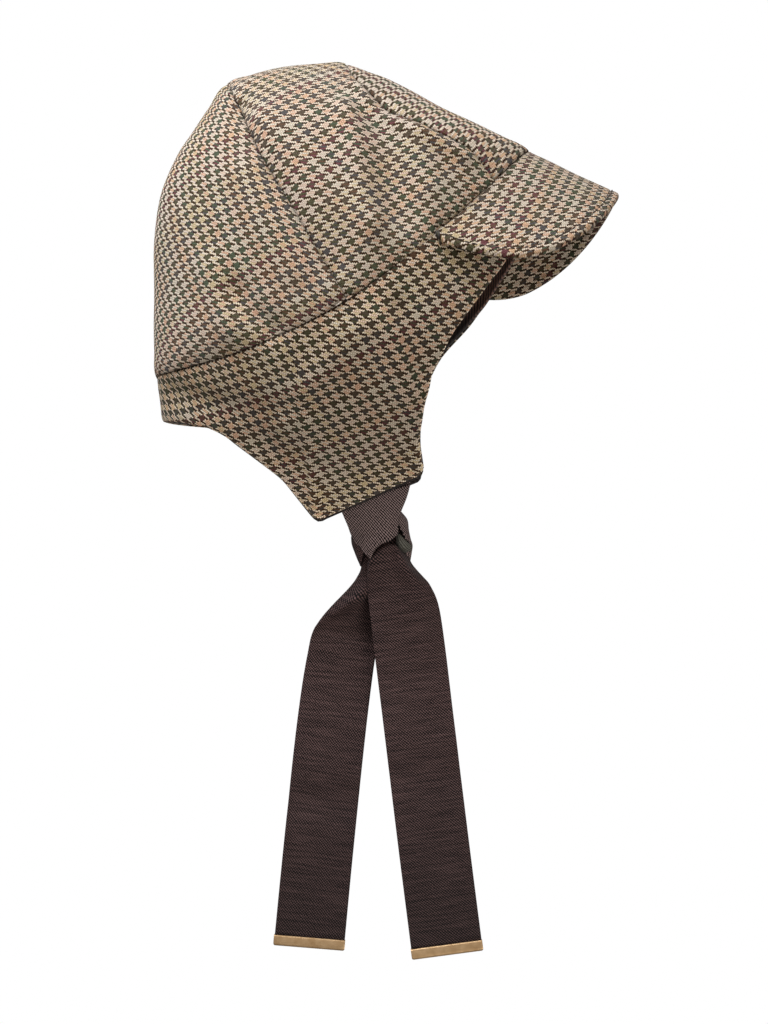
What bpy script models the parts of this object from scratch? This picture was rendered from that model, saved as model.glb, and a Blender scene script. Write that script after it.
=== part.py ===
# A lined houndstooth cap with ear flaps, a short visor and knotted ribbon ties.
# Metres, +Z up, the visor points to +X, and the wearer's right side is at -Y.
# The origin is the middle of the hollow, level with the ears.
import math

import bmesh
import bpy
import numpy as np

for oldThing in list(bpy.data.objects):
    bpy.data.objects.remove(oldThing, do_unlink=True)

mm = 0.001

# Walls and the gaps between pieces
clothWall = 2.0 * mm
liningWall = 1.0 * mm
ribbonWall = 1.0 * mm
seamGap = 0.7 * mm
liningGap = 1.2 * mm
liningInset = 1.0 * mm
goreTip = 4.0 * mm
liningDepth = clothWall + liningGap
tieDepth = liningDepth + liningWall + 0.4 * mm

# The outer form, as level sections in millimetres, from the top of the crown down
# to the chin. Each is a rounded oblong: the squareness is 2 for an ellipse.
sectionColumns = ("height", "back", "front", "halfWidth", "squareness")
sectionRows = (
    (132.5, -16.0, -16.0, 0.5, 2.0),
    (131.0, -34.5, 3.5, 18.0, 2.0),
    (126.5, -51.5, 18.5, 31.0, 2.05),
    (120.0, -64.5, 31.5, 42.0, 2.1),
    (109.0, -72.5, 51.0, 55.0, 2.15),
    (97.0, -80.5, 74.0, 65.5, 2.2),
    (85.0, -88.5, 92.0, 71.5, 2.25),
    (66.0, -96.0, 97.5, 76.5, 2.3),
    (42.0, -99.0, 97.5, 80.0, 2.3),
    (15.0, -99.0, 92.0, 80.5, 2.3),
    (-10.0, -98.0, 84.0, 77.5, 2.3),
    (-35.0, -94.5, 76.0, 66.0, 2.2),
    (-60.0, -88.0, 70.0, 46.0, 2.1),
    (-80.0, -82.0, 66.0, 28.0, 2.1),
    (-98.0, -78.0, 62.0, 14.0, 2.1),
)
hollowMiddle = np.array([0.0, 0.0, 10.0]) * mm
crownInside = np.array([-16.0, 0.0, 120.0]) * mm

# The seam between crown and band rises to the front as a parabola
seamBack = -97.0 * mm
seamFront = 90.0 * mm
seamLow = -25.0 * mm
seamRise = 113.0 * mm

# The crown's seams as seen from the side, in millimetres
seamColumns = ("x", "z")
rearSeamRows = ((-61.0, 122.0), (-44.5, 81.5), (-25.5, 48.5), (-1.0, 7.0))
frontSeamRows = (
    (-2.5, 131.0), (4.5, 116.0), (17.0, 101.5), (39.0, 88.5), (57.0, 79.5), (70.0, 65.5),
)

# The lower edge of band and flap as seen from the side, in millimetres, from nape to
# forehead, with the place on the band's seam that lies above each point
edgeColumns = ("x", "z", "seamX")
edgeRows = (
    (-94.0, -46.0, -97.0),
    (-80.0, -49.0, -84.0),
    (-69.0, -51.5, -73.0),
    (-60.0, -56.0, -63.0),
    (-33.0, -76.0, -40.0),
    (-16.0, -96.5, -22.0),
    (37.0, -73.5, 18.0),
    (35.0, -57.0, 27.0),
    (36.5, -41.5, 34.0),
    (42.0, -25.5, 41.0),
    (49.0, -10.0, 48.0),
    (60.0, 5.0, 57.0),
    (72.0, 22.0, 68.0),
    (84.0, 40.0, 79.0),
    (93.5, 57.0, 87.5),
    (97.5, 64.0, 90.0),
)
cornerSoftness = 4.0 * mm
# The left flap hangs a little higher behind than the right one
leftLift = 3.5 * mm
leftLiftFront = 35.0 * mm
leftLiftRear = -15.0 * mm

# Visor: its root follows the band's seam, its edge is a rounded oblong seen from above,
# and it falls to both sides as a parabola, less so towards its rear corners
visorRootStart = 41.0 * mm
visorMiddle = 55.0 * mm
visorReach = 79.5 * mm
visorHalfWidth = 78.5 * mm
visorTip = 67.0 * mm
visorSquareness = 2.4
visorDrop = 45.0 * mm
visorCornerTurn = math.radians(95.0)
visorLiftStart = 95.0 * mm
visorCornerLift = 11.0 * mm
visorBulge = 1.5 * mm
visorLayer = 1.6 * mm
visorBuried = 4.0 * mm
visorGap = 0.8 * mm
roomBottom = -20.0 * mm

# Ribbon ties: both edges of each ribbon in millimetres, from the top down
ribbonColumns = ("leftX", "leftY", "leftZ", "rightX", "rightY", "rightZ")
tieRows = (
    (-3.0, -16.5, -93.5, 29.0, -22.0, -80.5),
    (-1.0, -12.0, -98.5, 28.0, -14.0, -88.0),
    (1.5, -8.0, -104.0, 24.0, -9.0, -101.0),
    (7.0, -3.0, -110.0, 19.0, -4.0, -108.0),
)
frontTailRows = (
    (10.0, -6.0, -112.0, 27.0, -6.0, -110.0),
    (9.2, -10.0, -119.0, 30.5, -9.0, -117.0),
    (9.5, -9.5, -129.0, 40.5, -8.5, -127.0),
    (10.3, -8.0, -142.0, 44.5, -7.0, -139.0),
    (12.4, -7.0, -162.0, 47.3, -7.0, -158.0),
    (16.6, -6.5, -196.0, 51.4, -6.5, -192.0),
    (23.9, -6.0, -256.0, 58.7, -6.0, -251.5),
    (30.9, -5.5, -311.0, 65.7, -5.5, -306.4),
)
backTailRows = (
    (8.0, 2.0, -112.0, 20.0, 3.0, -112.0),
    (3.5, 3.0, -122.0, 23.0, 4.0, -122.0),
    (-5.0, 4.0, -135.0, 23.5, 4.0, -133.0),
    (-16.5, 4.5, -147.0, 17.0, 4.5, -144.0),
    (-21.5, 4.5, -163.0, 13.2, 4.5, -160.0),
    (-26.6, 4.5, -197.0, 8.1, 4.5, -199.0),
    (-33.0, 4.0, -256.0, 1.8, 4.0, -259.0),
    (-37.8, 4.0, -305.3, -2.9, 4.0, -308.1),
)
sewnLength = 14.0 * mm
sewnStart = 4.0 * mm
sewnDirection = (-0.02, -0.62, 0.78)
knotMiddle = (15.5 * mm, 0.0, -115.0 * mm)
knotHalf = (14.5 * mm, 10.5 * mm, 11.5 * mm)
knotLean = math.radians(12.0)
touchGap = 0.3 * mm

# Clips: a folded strip over each ribbon end
clipLength = 35.6 * mm
clipHeight = 5.4 * mm
clipThickness = 3.2 * mm
clipSlotDepth = 4.2 * mm
clipCorner = 0.5 * mm
ribbonInClip = 3.8 * mm


def smoothRows(rows, steps, roundTop=False):
    """Values between a table's rows, along smooth curves through all of them."""
    table = np.array(rows, float)
    before = 2 * table[0] - table[1]
    if roundTop:
        before[0] = table[1][0]
    after = 2 * table[-1] - table[-2]
    padded = np.vstack([before, table, after])
    result = []
    for row in range(len(table) - 1):
        a, b, c, d = padded[row:row + 4]
        for t in np.arange(steps) / steps:
            cubic = (3 * b - a - 3 * c + d) * t ** 3
            square = (2 * a - 5 * b + 4 * c - d) * t ** 2
            result.append(0.5 * (2 * b + (c - a) * t + square + cubic))
    result.append(table[-1])
    return np.array(result)


bodyTable = smoothRows(sectionRows, 24, roundTop=True)


def sectionAt(height):
    """Back, front, half width and squareness of the level section at a height."""
    down = -np.asarray(height) / mm
    columns = [np.interp(down, -bodyTable[:, 0], bodyTable[:, k]) for k in range(1, 5)]
    back, front, half, power = columns
    return back * mm, front * mm, half * mm, power


def bodyField(points):
    """1 on the outer form, less inside it and more outside."""
    back, front, half, power = sectionAt(points[:, 2])
    reach = np.maximum((front - back) / 2, 0.1 * mm)
    along = np.abs((points[:, 0] - (front + back) / 2) / reach)
    across = np.abs(points[:, 1] / half)
    above = np.maximum(points[:, 2] - sectionRows[0][0] * mm, 0) / mm
    return along ** power + across ** power + above


def bodyNormal(points):
    """Outward direction of the outer form."""
    step = 0.5 * mm
    slope = np.zeros_like(points)
    for axis in range(3):
        shift = np.zeros(3)
        shift[axis] = step
        slope[:, axis] = bodyField(points + shift) - bodyField(points - shift)
    return slope / np.linalg.norm(slope, axis=1, keepdims=True)


def onBody(points, depth=0.0):
    """Points moved out from the hollow's middle to the form, then in by a depth."""
    shape = np.shape(points)
    ray = np.reshape(points, (-1, 3)) - hollowMiddle
    low = np.full(len(ray), 0.2)
    high = np.full(len(ray), 4.0)
    for _ in range(40):
        middle = (low + high) / 2
        outside = bodyField(hollowMiddle + ray * middle[:, None]) > 1
        high = np.where(outside, middle, high)
        low = np.where(outside, low, middle)
    found = hollowMiddle + ray * low[:, None]
    if depth:
        found = found - bodyNormal(found) * depth
    return found.reshape(shape)


def widthAt(x, z):
    """Half width of the outer form at a place seen from the side."""
    back, front, half, power = sectionAt(z)
    reach = np.maximum((front - back) / 2, 0.1 * mm)
    along = np.clip(np.abs((x - (front + back) / 2) / reach), 0, 1)
    return half * (1 - along ** power) ** (1 / power)


def seamHeight(x):
    """Height of the crown's lower seam at a place along the hat."""
    return seamLow + seamRise * ((x - seamBack) / (seamFront - seamBack)) ** 2


def evenly(curve, count):
    """A curve's points spread evenly along its length."""
    steps = np.linalg.norm(np.diff(curve, axis=0), axis=1)
    length = np.concatenate([[0], np.cumsum(steps)])
    places = np.linspace(0, length[-1], count)
    return np.stack([np.interp(places, length, curve[:, k]) for k in range(curve.shape[1])], 1)


def bandSeam(side, count, start=None, end=None):
    """The crown's lower seam from back to front on one side (-1 right, 1 left)."""
    turn = np.linspace(math.pi, 0, 721)
    x = np.cos(turn) * 0.09
    for _ in range(60):
        back, front, half, power = sectionAt(seamHeight(x))
        along = np.sign(np.cos(turn)) * np.abs(np.cos(turn)) ** (2 / power)
        across = np.sin(turn) ** (2 / power)
        x = 0.5 * x + 0.5 * ((front + back) / 2 + (front - back) / 2 * along)
    curve = np.stack([x, side * half * across, seamHeight(x)], 1)
    if start is not None:
        curve = curve[curve[:, 0] >= start]
    if end is not None:
        curve = curve[curve[:, 0] <= end]
    return evenly(curve, count)


def crownSeam(rows, side, count):
    """A crown seam from its apex down to the band, drawn from a side view."""
    flat = smoothRows(rows, 60) * mm
    width = side * widthAt(flat[:, 0], flat[:, 1])
    curve = onBody(np.stack([flat[:, 0], width, flat[:, 1]], 1))
    curve[0, 1] = 0.0
    return evenly(curve, count)


def bluntTop(curve, skip):
    """The same curve with its first point moved on, so that a gore's tip has a width."""
    result = curve.copy()
    step = curve[1] - curve[0]
    result[0] += step / np.linalg.norm(step) * skip
    return result


def fourSided(top, bottom, left, right):
    """A patch of points between four edges that meet at their ends."""
    u = np.linspace(0, 1, len(top))[None, :, None]
    v = np.linspace(0, 1, len(left))[:, None, None]
    down = (1 - v) * top[None] + v * bottom[None]
    across = (1 - u) * left[:, None] + u * right[:, None]
    topEdge = (1 - u) * top[0] + u * top[-1]
    bottomEdge = (1 - u) * bottom[0] + u * bottom[-1]
    return down + across - (1 - v) * topEdge - v * bottomEdge


def insetPatch(patch, amount, sides="tblr"):
    """The patch with the named edges drawn in by an amount."""
    result = patch.copy()
    pairs = {"t": (0, 1, 0), "b": (-1, -2, 0), "l": (0, 1, 1), "r": (-1, -2, 1)}
    for name in sides:
        edge, inner, axis = pairs[name]
        outer = np.take(result, edge, axis)
        step = np.take(result, inner, axis) - outer
        step = step / np.linalg.norm(step, axis=1, keepdims=True) * amount
        if axis == 0:
            result[edge] = outer + step
        else:
            result[:, edge] = outer + step
    return result


def makeMaterial(name, colour, roughness, metallic=0.0):
    material = bpy.data.materials.new(name)
    material.use_nodes = True
    shader = material.node_tree.nodes["Principled BSDF"]
    shader.inputs["Base Color"].default_value = (*colour, 1)
    shader.inputs["Roughness"].default_value = roughness
    shader.inputs["Metallic"].default_value = metallic
    material.diffuse_color = (*colour, 1)
    return material


def addObject(name, mesh, material, collection):
    thing = bpy.data.objects.new(name, mesh)
    mesh.materials.append(material)
    collection.objects.link(thing)
    return thing


def patchMesh(name, patch, facing=None):
    """An open sheet over a patch, its faces turned away from the facing point."""
    rows, columns = patch.shape[:2]
    faces = []
    for i in range(rows - 1):
        for j in range(columns - 1):
            a = i * columns + j
            faces.append((a, a + columns, a + columns + 1))
            faces.append((a, a + columns + 1, a + 1))
    mesh = bpy.data.meshes.new(name)
    mesh.from_pydata(patch.reshape(-1, 3).tolist(), [], faces)
    mesh.update()
    if facing is not None:
        outward = sum((np.array(f.center) - facing) @ np.array(f.normal) for f in mesh.polygons)
        if outward < 0:
            mesh.flip_normals()
    return mesh


def thicken(thing, wall, offset=-1.0):
    solid = thing.modifiers.new("wall", "SOLIDIFY")
    solid.thickness = wall
    solid.offset = offset
    return solid


def slabBetween(name, outer, inner, material):
    """A closed piece between two skins that have the same rows and columns."""
    rows, columns = outer.shape[:2]
    count = rows * columns
    faces = []
    for i in range(rows - 1):
        for j in range(columns - 1):
            a = i * columns + j
            for face in ((a, a + columns, a + columns + 1), (a, a + columns + 1, a + 1)):
                faces.append(face)
                faces.append(tuple(k + count for k in face[::-1]))
    rim = [j for j in range(columns)]
    rim += [i * columns + columns - 1 for i in range(1, rows)]
    rim += [(rows - 1) * columns + j for j in range(columns - 2, -1, -1)]
    rim += [i * columns for i in range(rows - 2, 0, -1)]
    for a, b in zip(rim, rim[1:] + rim[:1]):
        faces.append((a, b, b + count, a + count))
    mesh = bpy.data.meshes.new(name)
    points = np.vstack([outer.reshape(-1, 3), inner.reshape(-1, 3)])
    mesh.from_pydata(points.tolist(), [], faces)
    shape = bmesh.new()
    shape.from_mesh(mesh)
    bmesh.ops.recalc_face_normals(shape, faces=shape.faces)
    if shape.calc_volume(signed=True) < 0:
        bmesh.ops.reverse_faces(shape, faces=shape.faces)
    shape.to_mesh(mesh)
    shape.free()
    return addObject(name, mesh, material, parts)


def clothPanel(name, patch):
    """A wall of cloth, its rim square to the form so that neighbours never cross."""
    return slabBetween(name, patch, onBody(patch, clothWall), houndstooth)


def lowerEdge(side, count):
    """Lower edge of band and flap, and the seam point above each of its points."""
    table = np.array(edgeRows) * mm
    dense = evenly(table, 900)
    reach = int(900 * cornerSoftness / np.linalg.norm(np.diff(dense[:, :2], axis=0), axis=1).sum())
    soft = dense.copy()
    for i in range(1, 899):
        near = min(reach, i, 899 - i)
        soft[i] = dense[i - near:i + near + 1].mean(0)
    if side > 0:
        rearward = (leftLiftFront - soft[:, 0]) / (leftLiftFront - leftLiftRear)
        napeward = (soft[:, 0] - soft[0, 0]) / (leftLiftRear - soft[0, 0]) * 4
        soft[:, 1] += leftLift * np.clip(rearward, 0, 1) * np.clip(napeward, 0, 1)
    edge = np.stack([soft[:, 0], side * widthAt(soft[:, 0], soft[:, 1]), soft[:, 1]], 1)
    edge[[0, -1], 1] = 0.0
    joined = evenly(np.hstack([edge, soft[:, 2:]]), count)
    seam = bandSeam(side, 900)
    above = np.stack([np.interp(joined[:, 3], seam[:, 0], seam[:, k]) for k in range(3)], 1)
    above[[0, -1], 1] = 0.0
    return onBody(joined[:, :3]), above


def wholeEdge(count):
    """The lower edge and the seam above it, as closed loops round both sides."""
    right, left = lowerEdge(-1, count), lowerEdge(1, count)
    return [np.vstack([right[k], left[k][::-1][1:-1]]) for k in range(2)]


def bandPatch(side, columns, rows):
    edge, above = lowerEdge(side, columns)
    v = np.linspace(0, 1, rows)[:, None, None]
    return onBody((1 - v) * above[None] + v * edge[None])


def buildGore(name, seamRows, ring, rows):
    """A gore between its two seams, with the ring as its foot on one side."""
    right = bluntTop(crownSeam(seamRows, -1, rows), goreTip)
    left = right * (1, -1, 1)
    bottom = np.vstack([ring, (ring * (1, -1, 1))[::-1][1:]])
    bottom[0], bottom[-1] = right[-1], left[-1]
    across = np.linspace(0, 1, len(bottom))[:, None]
    top = (1 - across) * right[0] + across * left[0]
    patch = onBody(fourSided(top, bottom, right, left))
    clothPanel(name, insetPatch(patch, seamGap / 2))


def buildCrown():
    rows, columns = 11, 11
    rearFoot = rearSeamRows[-1][0] * mm
    frontFoot = frontSeamRows[-1][0] * mm
    buildGore("back_panel", rearSeamRows, bandSeam(-1, 9, end=rearFoot)[::-1], rows)
    buildGore("front_panel", frontSeamRows, bandSeam(-1, 7, start=frontFoot), rows)

    # The two side pieces meet along the top
    for side, word in ((-1, "right"), (1, "left")):
        rear = crownSeam(rearSeamRows, side, rows)
        front = crownSeam(frontSeamRows, side, rows)
        bottom = bandSeam(side, columns, rearFoot, frontFoot)
        bottom[0], bottom[-1] = rear[-1], front[-1]
        along = np.linspace(0, 1, columns)[:, None]
        top = onBody((1 - along) * rear[0] + along * front[0])
        patch = onBody(fourSided(top, bottom, rear, front))
        clothPanel("side_panel_" + word, insetPatch(patch, seamGap / 2))


def buildBand():
    for side, word in ((-1, "right"), (1, "left")):
        patch = insetPatch(bandPatch(side, 38, 8), seamGap / 2, "t")
        clothPanel("band_" + word, insetPatch(patch, seamGap, "lr"))


def buildLining():
    """One skin inside crown, band and flaps, open below and at the face."""
    edge, above = wholeEdge(24)
    upward = (above - edge) / np.linalg.norm(above - edge, axis=1, keepdims=True)
    edge = edge + upward * liningInset
    rings = []
    for v in np.linspace(0.12, 1, 7):
        rings.append((1 - v) * crownInside + v * above)
    for v in np.linspace(0, 1, 7)[1:]:
        rings.append((1 - v) * above + v * edge)
    rings = onBody(np.array(rings), liningDepth)
    crownTop = onBody(crownInside[None], liningDepth)

    ringSize = rings.shape[1]
    points = np.vstack([crownTop, rings.reshape(-1, 3)])
    faces = []
    for j in range(ringSize):
        k = (j + 1) % ringSize
        faces.append((0, 1 + j, 1 + k))
        for i in range(len(rings) - 1):
            a = 1 + i * ringSize
            faces.append((a + j, a + ringSize + j, a + ringSize + k))
            faces.append((a + j, a + ringSize + k, a + k))
    mesh = bpy.data.meshes.new("lining")
    mesh.from_pydata(points.tolist(), [], faces)
    mesh.update()
    outward = sum((np.array(f.center) - hollowMiddle) @ np.array(f.normal) for f in mesh.polygons)
    if outward < 0:
        mesh.flip_normals()
    mesh.shade_smooth()
    lining = addObject("lining", mesh, darkLining, parts)
    thicken(lining, liningWall)


def sheetNormals(sheet):
    """Upward directions of a sheet of points."""
    along = np.gradient(sheet, axis=1)
    out = np.gradient(sheet, axis=0)
    normal = np.cross(out, along)
    normal = normal / np.linalg.norm(normal, axis=2, keepdims=True)
    return normal * np.sign(normal[:, sheet.shape[1] // 2, 2].sum())


def visorSheet(columns, rows):
    """Outer face of the visor: its root on the band's seam, its edge out in front."""
    half = bandSeam(-1, columns // 2 + 1, start=visorRootStart)
    root = np.vstack([half, (half * (1, -1, 1))[::-1][1:]])
    turn = np.linspace(-visorCornerTurn, visorCornerTurn, len(root))
    power = 2 / visorSquareness
    x = visorMiddle + visorReach * np.sign(np.cos(turn)) * np.abs(np.cos(turn)) ** power
    y = visorHalfWidth * np.sign(turn) * np.abs(np.sin(turn)) ** power
    rearward = np.clip((visorLiftStart - x) / (visorLiftStart - x.min()), 0, 1)
    z = visorTip - visorDrop * (y / visorHalfWidth) ** 2 + visorCornerLift * rearward ** 1.5
    edge = np.stack([x, y, z], 1)
    v = np.linspace(0, 1, rows)[:, None, None]
    sheet = (1 - v) * root[None] + v * edge[None]
    sheet[:, :, 2] += visorBulge * np.sin(math.pi * v[:, :, 0]) * np.cos(turn / 1.15)[None]
    buried = onBody(root, visorBuried)
    return np.concatenate([buried[None], sheet])


def addRoom():
    """A cutter that keeps the visor clear of the crown and band."""
    above = wholeEdge(49)[1]
    low = above * (1, 1, 0) + np.array([0, 0, roomBottom])
    rings = [(1 - v) * crownInside + v * above for v in np.linspace(0.1, 1, 14)]
    rings += [(1 - v) * above + v * low for v in np.linspace(0, 1, 14)[1:]]
    rings = onBody(np.array(rings), -visorGap)
    shape = bmesh.new()
    layers = [[shape.verts.new(point) for point in ring] for ring in rings]
    for upper, lower in zip(layers, layers[1:]):
        for j in range(len(upper)):
            k = (j + 1) % len(upper)
            shape.faces.new((upper[j], lower[j], lower[k], upper[k]))
    shape.faces.new(layers[0])
    shape.faces.new(layers[-1])
    bmesh.ops.recalc_face_normals(shape, faces=shape.faces)
    mesh = bpy.data.meshes.new("visor_room")
    shape.to_mesh(mesh)
    shape.free()
    room = addObject("visor_room", mesh, houndstooth, cutters)
    room.hide_render = True
    room.display_type = "WIRE"
    return room


def buildVisor():
    room = addRoom()
    sheet = visorSheet(18, 5)
    normals = sheetNormals(sheet)
    for name, depth in (("visor_top", 0.0), ("visor_under", visorLayer + touchGap)):
        upper = sheet - normals * depth
        lower = upper - normals * visorLayer
        layer = slabBetween(name, upper, lower, houndstooth)
        cut = layer.modifiers.new("root", "BOOLEAN")
        cut.object = room
        cut.operation = "DIFFERENCE"


def ribbonPatch(rows, steps, across=3):
    table = smoothRows(rows, steps) * mm
    u = np.linspace(0, 1, across)[None, :, None]
    return (1 - u) * table[:, None, :3] + u * table[:, None, 3:]


def trimByKnot(ribbon):
    cut = ribbon.modifiers.new("knot room", "BOOLEAN")
    cut.object = bpy.data.objects["knot_room"]
    cut.operation = "DIFFERENCE"


def addKnot(name, grow, collection):
    mesh = bpy.data.meshes.new(name)
    shape = bmesh.new()
    bmesh.ops.create_uvsphere(shape, u_segments=14, v_segments=8, radius=1)
    shape.to_mesh(mesh)
    shape.free()
    for vertex in mesh.vertices:
        for axis in range(3):
            vertex.co[axis] *= knotHalf[axis] + grow
    mesh.shade_smooth()
    knot = addObject(name, mesh, ribbonCloth, collection)
    knot.location = knotMiddle
    knot.rotation_euler = (0, knotLean, 0)
    return knot


def buildTies():
    addKnot("tie_knot", 0.0, parts)
    room = addKnot("knot_room", touchGap, cutters)
    room.hide_render = True
    room.display_type = "WIRE"

    for side, word in ((-1, "right"), (1, "left")):
        free = ribbonPatch(tieRows, 4)
        # The sewn end lies on the lining, up from the flap's lower edge
        up = np.linspace(sewnLength, sewnStart, 4)[:, None, None]
        sewn = free[0][None] + up * np.array(sewnDirection)
        for row in sewn:
            inner = onBody(row, tieDepth)
            row[:, 1] = inner[:, 1]
            row[:, 2] = inner[:, 2]
        patch = np.concatenate([sewn, free[1:]]) * (1, -side, 1)
        mesh = patchMesh("tie_" + word, patch, np.array([0, 0, -0.1]))
        mesh.shade_smooth()
        tie = addObject("tie_" + word, mesh, ribbonCloth, parts)
        thicken(tie, ribbonWall)
        trimByKnot(tie)

    for word, rows in (("front", frontTailRows), ("back", backTailRows)):
        patch = ribbonPatch(rows, 3)
        mesh = patchMesh("tail_" + word, patch, np.array([0, 0.2, -0.2]))
        mesh.shade_smooth()
        tail = addObject("tail_" + word, mesh, ribbonCloth, parts)
        thicken(tail, ribbonWall, 0.0)
        trimByKnot(tail)


def buildClips():
    for word, rows in (("front", frontTailRows), ("back", backTailRows)):
        left = np.array(rows[-1][:3]) * mm
        right = np.array(rows[-1][3:]) * mm
        lean = math.atan2(right[2] - left[2], right[0] - left[0])
        middle = (left + right) / 2
        down = np.array([math.sin(lean), 0, -math.cos(lean)])
        centre = middle + down * (clipHeight / 2 - ribbonInClip)

        mesh = bpy.data.meshes.new("clip_" + word)
        shape = bmesh.new()
        bmesh.ops.create_cube(shape, size=1)
        bmesh.ops.scale(shape, vec=(clipLength, clipThickness, clipHeight), verts=shape.verts)
        shape.to_mesh(mesh)
        shape.free()
        clip = addObject("clip_" + word, mesh, satinBrass, parts)
        clip.location = centre
        clip.rotation_euler = (0, -lean, 0)

        slotMesh = bpy.data.meshes.new("slot_" + word)
        shape = bmesh.new()
        bmesh.ops.create_cube(shape, size=1)
        slotWidth = ribbonWall + 2 * touchGap
        size = (clipLength * 1.2, slotWidth, clipSlotDepth * 2)
        bmesh.ops.scale(shape, vec=size, verts=shape.verts)
        bmesh.ops.translate(shape, vec=(0, 0, clipHeight / 2), verts=shape.verts)
        shape.to_mesh(slotMesh)
        shape.free()
        slot = addObject("slot_" + word, slotMesh, satinBrass, cutters)
        slot.location = centre
        slot.rotation_euler = (0, -lean, 0)
        slot.hide_render = True
        slot.display_type = "WIRE"

        cut = clip.modifiers.new("slot", "BOOLEAN")
        cut.object = slot
        cut.operation = "DIFFERENCE"
        edges = clip.modifiers.new("edges", "BEVEL")
        edges.width = clipCorner
        edges.segments = 1
        edges.limit_method = "ANGLE"


parts = bpy.data.collections.new("padded_hat")
cutters = bpy.data.collections.new("cutters")
bpy.context.scene.collection.children.link(parts)
bpy.context.scene.collection.children.link(cutters)

houndstooth = makeMaterial("houndstooth_wool", (0.24, 0.19, 0.14), 0.9)
darkLining = makeMaterial("ribbed_lining", (0.022, 0.014, 0.011), 0.75)
ribbonCloth = makeMaterial("twill_ribbon", (0.035, 0.024, 0.021), 0.7)
satinBrass = makeMaterial("satin_brass", (0.55, 0.38, 0.18), 0.35, 1.0)

buildCrown()
buildBand()
buildLining()
buildVisor()
buildTies()
buildClips()
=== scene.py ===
import math

import bmesh
import bpy
import numpy as np
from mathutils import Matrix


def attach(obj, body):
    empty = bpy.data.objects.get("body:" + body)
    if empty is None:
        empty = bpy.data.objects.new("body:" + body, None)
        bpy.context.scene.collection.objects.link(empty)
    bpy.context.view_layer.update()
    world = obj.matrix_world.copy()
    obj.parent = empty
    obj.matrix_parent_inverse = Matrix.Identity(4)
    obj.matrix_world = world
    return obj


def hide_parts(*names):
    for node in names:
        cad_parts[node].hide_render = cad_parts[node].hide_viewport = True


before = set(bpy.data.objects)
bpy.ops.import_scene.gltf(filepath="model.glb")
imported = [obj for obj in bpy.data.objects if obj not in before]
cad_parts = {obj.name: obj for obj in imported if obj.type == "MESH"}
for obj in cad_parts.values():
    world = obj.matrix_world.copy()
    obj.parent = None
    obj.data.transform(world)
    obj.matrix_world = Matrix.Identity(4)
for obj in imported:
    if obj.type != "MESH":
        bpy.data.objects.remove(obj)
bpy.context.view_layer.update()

mm = 0.001
scene = bpy.context.scene
scene.view_settings.view_transform = "Standard"

# the worn form: level sections from crown to chin, the same as the solid model's
# height, back, front, half width, squareness
sectionRows = (
    (132.5, -16.0, -16.0, 0.5, 2.0),
    (131.0, -34.5, 3.5, 18.0, 2.0),
    (126.5, -51.5, 18.5, 31.0, 2.05),
    (120.0, -64.5, 31.5, 42.0, 2.1),
    (109.0, -72.5, 51.0, 55.0, 2.15),
    (97.0, -80.5, 74.0, 65.5, 2.2),
    (85.0, -88.5, 92.0, 71.5, 2.25),
    (66.0, -96.0, 97.5, 76.5, 2.3),
    (42.0, -99.0, 97.5, 80.0, 2.3),
    (15.0, -99.0, 92.0, 80.5, 2.3),
    (-10.0, -98.0, 84.0, 77.5, 2.3),
    (-35.0, -94.5, 76.0, 66.0, 2.2),
    (-60.0, -88.0, 70.0, 46.0, 2.1),
    (-80.0, -82.0, 66.0, 28.0, 2.1),
    (-98.0, -78.0, 62.0, 14.0, 2.1),
)
hollowMiddle = np.array([0.0, 0.0, 10.0]) * mm
crownInside = np.array([-16.0, 0.0, 120.0]) * mm

# the crown's seams seen from the side (x, z), and the seam between crown and band
rearSeamRows = ((-61.0, 122.0), (-44.5, 81.5), (-25.5, 48.5), (-1.0, 7.0))
frontSeamRows = (
    (-2.5, 131.0), (4.5, 116.0), (17.0, 101.5), (39.0, 88.5), (57.0, 79.5), (70.0, 65.5),
)
bandSeamLine = {"back": -97.0 * mm, "front": 90.0 * mm, "low": -25.0 * mm, "rise": 113.0 * mm}

# lower edge of band and flap (x, z), and the place on the band's seam above it
edgeRows = (
    (-94.0, -46.0, -97.0),
    (-80.0, -49.0, -84.0),
    (-69.0, -51.5, -73.0),
    (-60.0, -56.0, -63.0),
    (-33.0, -76.0, -40.0),
    (-16.0, -96.5, -22.0),
    (37.0, -73.5, 18.0),
    (35.0, -57.0, 27.0),
    (36.5, -41.5, 34.0),
    (42.0, -25.5, 41.0),
    (49.0, -10.0, 48.0),
    (60.0, 5.0, 57.0),
    (72.0, 22.0, 68.0),
    (84.0, 40.0, 79.0),
    (93.5, 57.0, 87.5),
    (97.5, 64.0, 90.0),
)
hem = {"softness": 4.0 * mm, "points": 900}
# the left flap ends a little higher, and its cheek edge lies a little further back
leftFlap = {
    "lift": 3.5 * mm,
    "front": 35.0 * mm,
    "rear": -15.0 * mm,
    "cheek": 3.0 * mm,
    "cheekFrom": 20.0 * mm,
    "cheekEnds": (-57 * mm, 20 * mm, 12 * mm, 20 * mm),
}


def smoothStep(value):
    t = np.clip(value, 0, 1)
    return t * t * (3 - 2 * t)


def softWindow(value, start, rise, end, fall):
    # 1 between start and end, fading in over rise and out over fall
    return smoothStep((value - start) / rise) * smoothStep((end - value) / fall)


def smoothRows(rows, steps, roundTop=False):
    # smooth curves through all the rows of a table
    table = np.array(rows, float)
    before = 2 * table[0] - table[1]
    if roundTop:
        before[0] = table[1][0]
    after = 2 * table[-1] - table[-2]
    padded = np.vstack([before, table, after])
    result = []
    for row in range(len(table) - 1):
        a, b, c, d = padded[row:row + 4]
        for t in np.arange(steps) / steps:
            cubic = (3 * b - a - 3 * c + d) * t ** 3
            square = (2 * a - 5 * b + 4 * c - d) * t ** 2
            result.append(0.5 * (2 * b + (c - a) * t + square + cubic))
    result.append(table[-1])
    return np.array(result)


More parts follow.
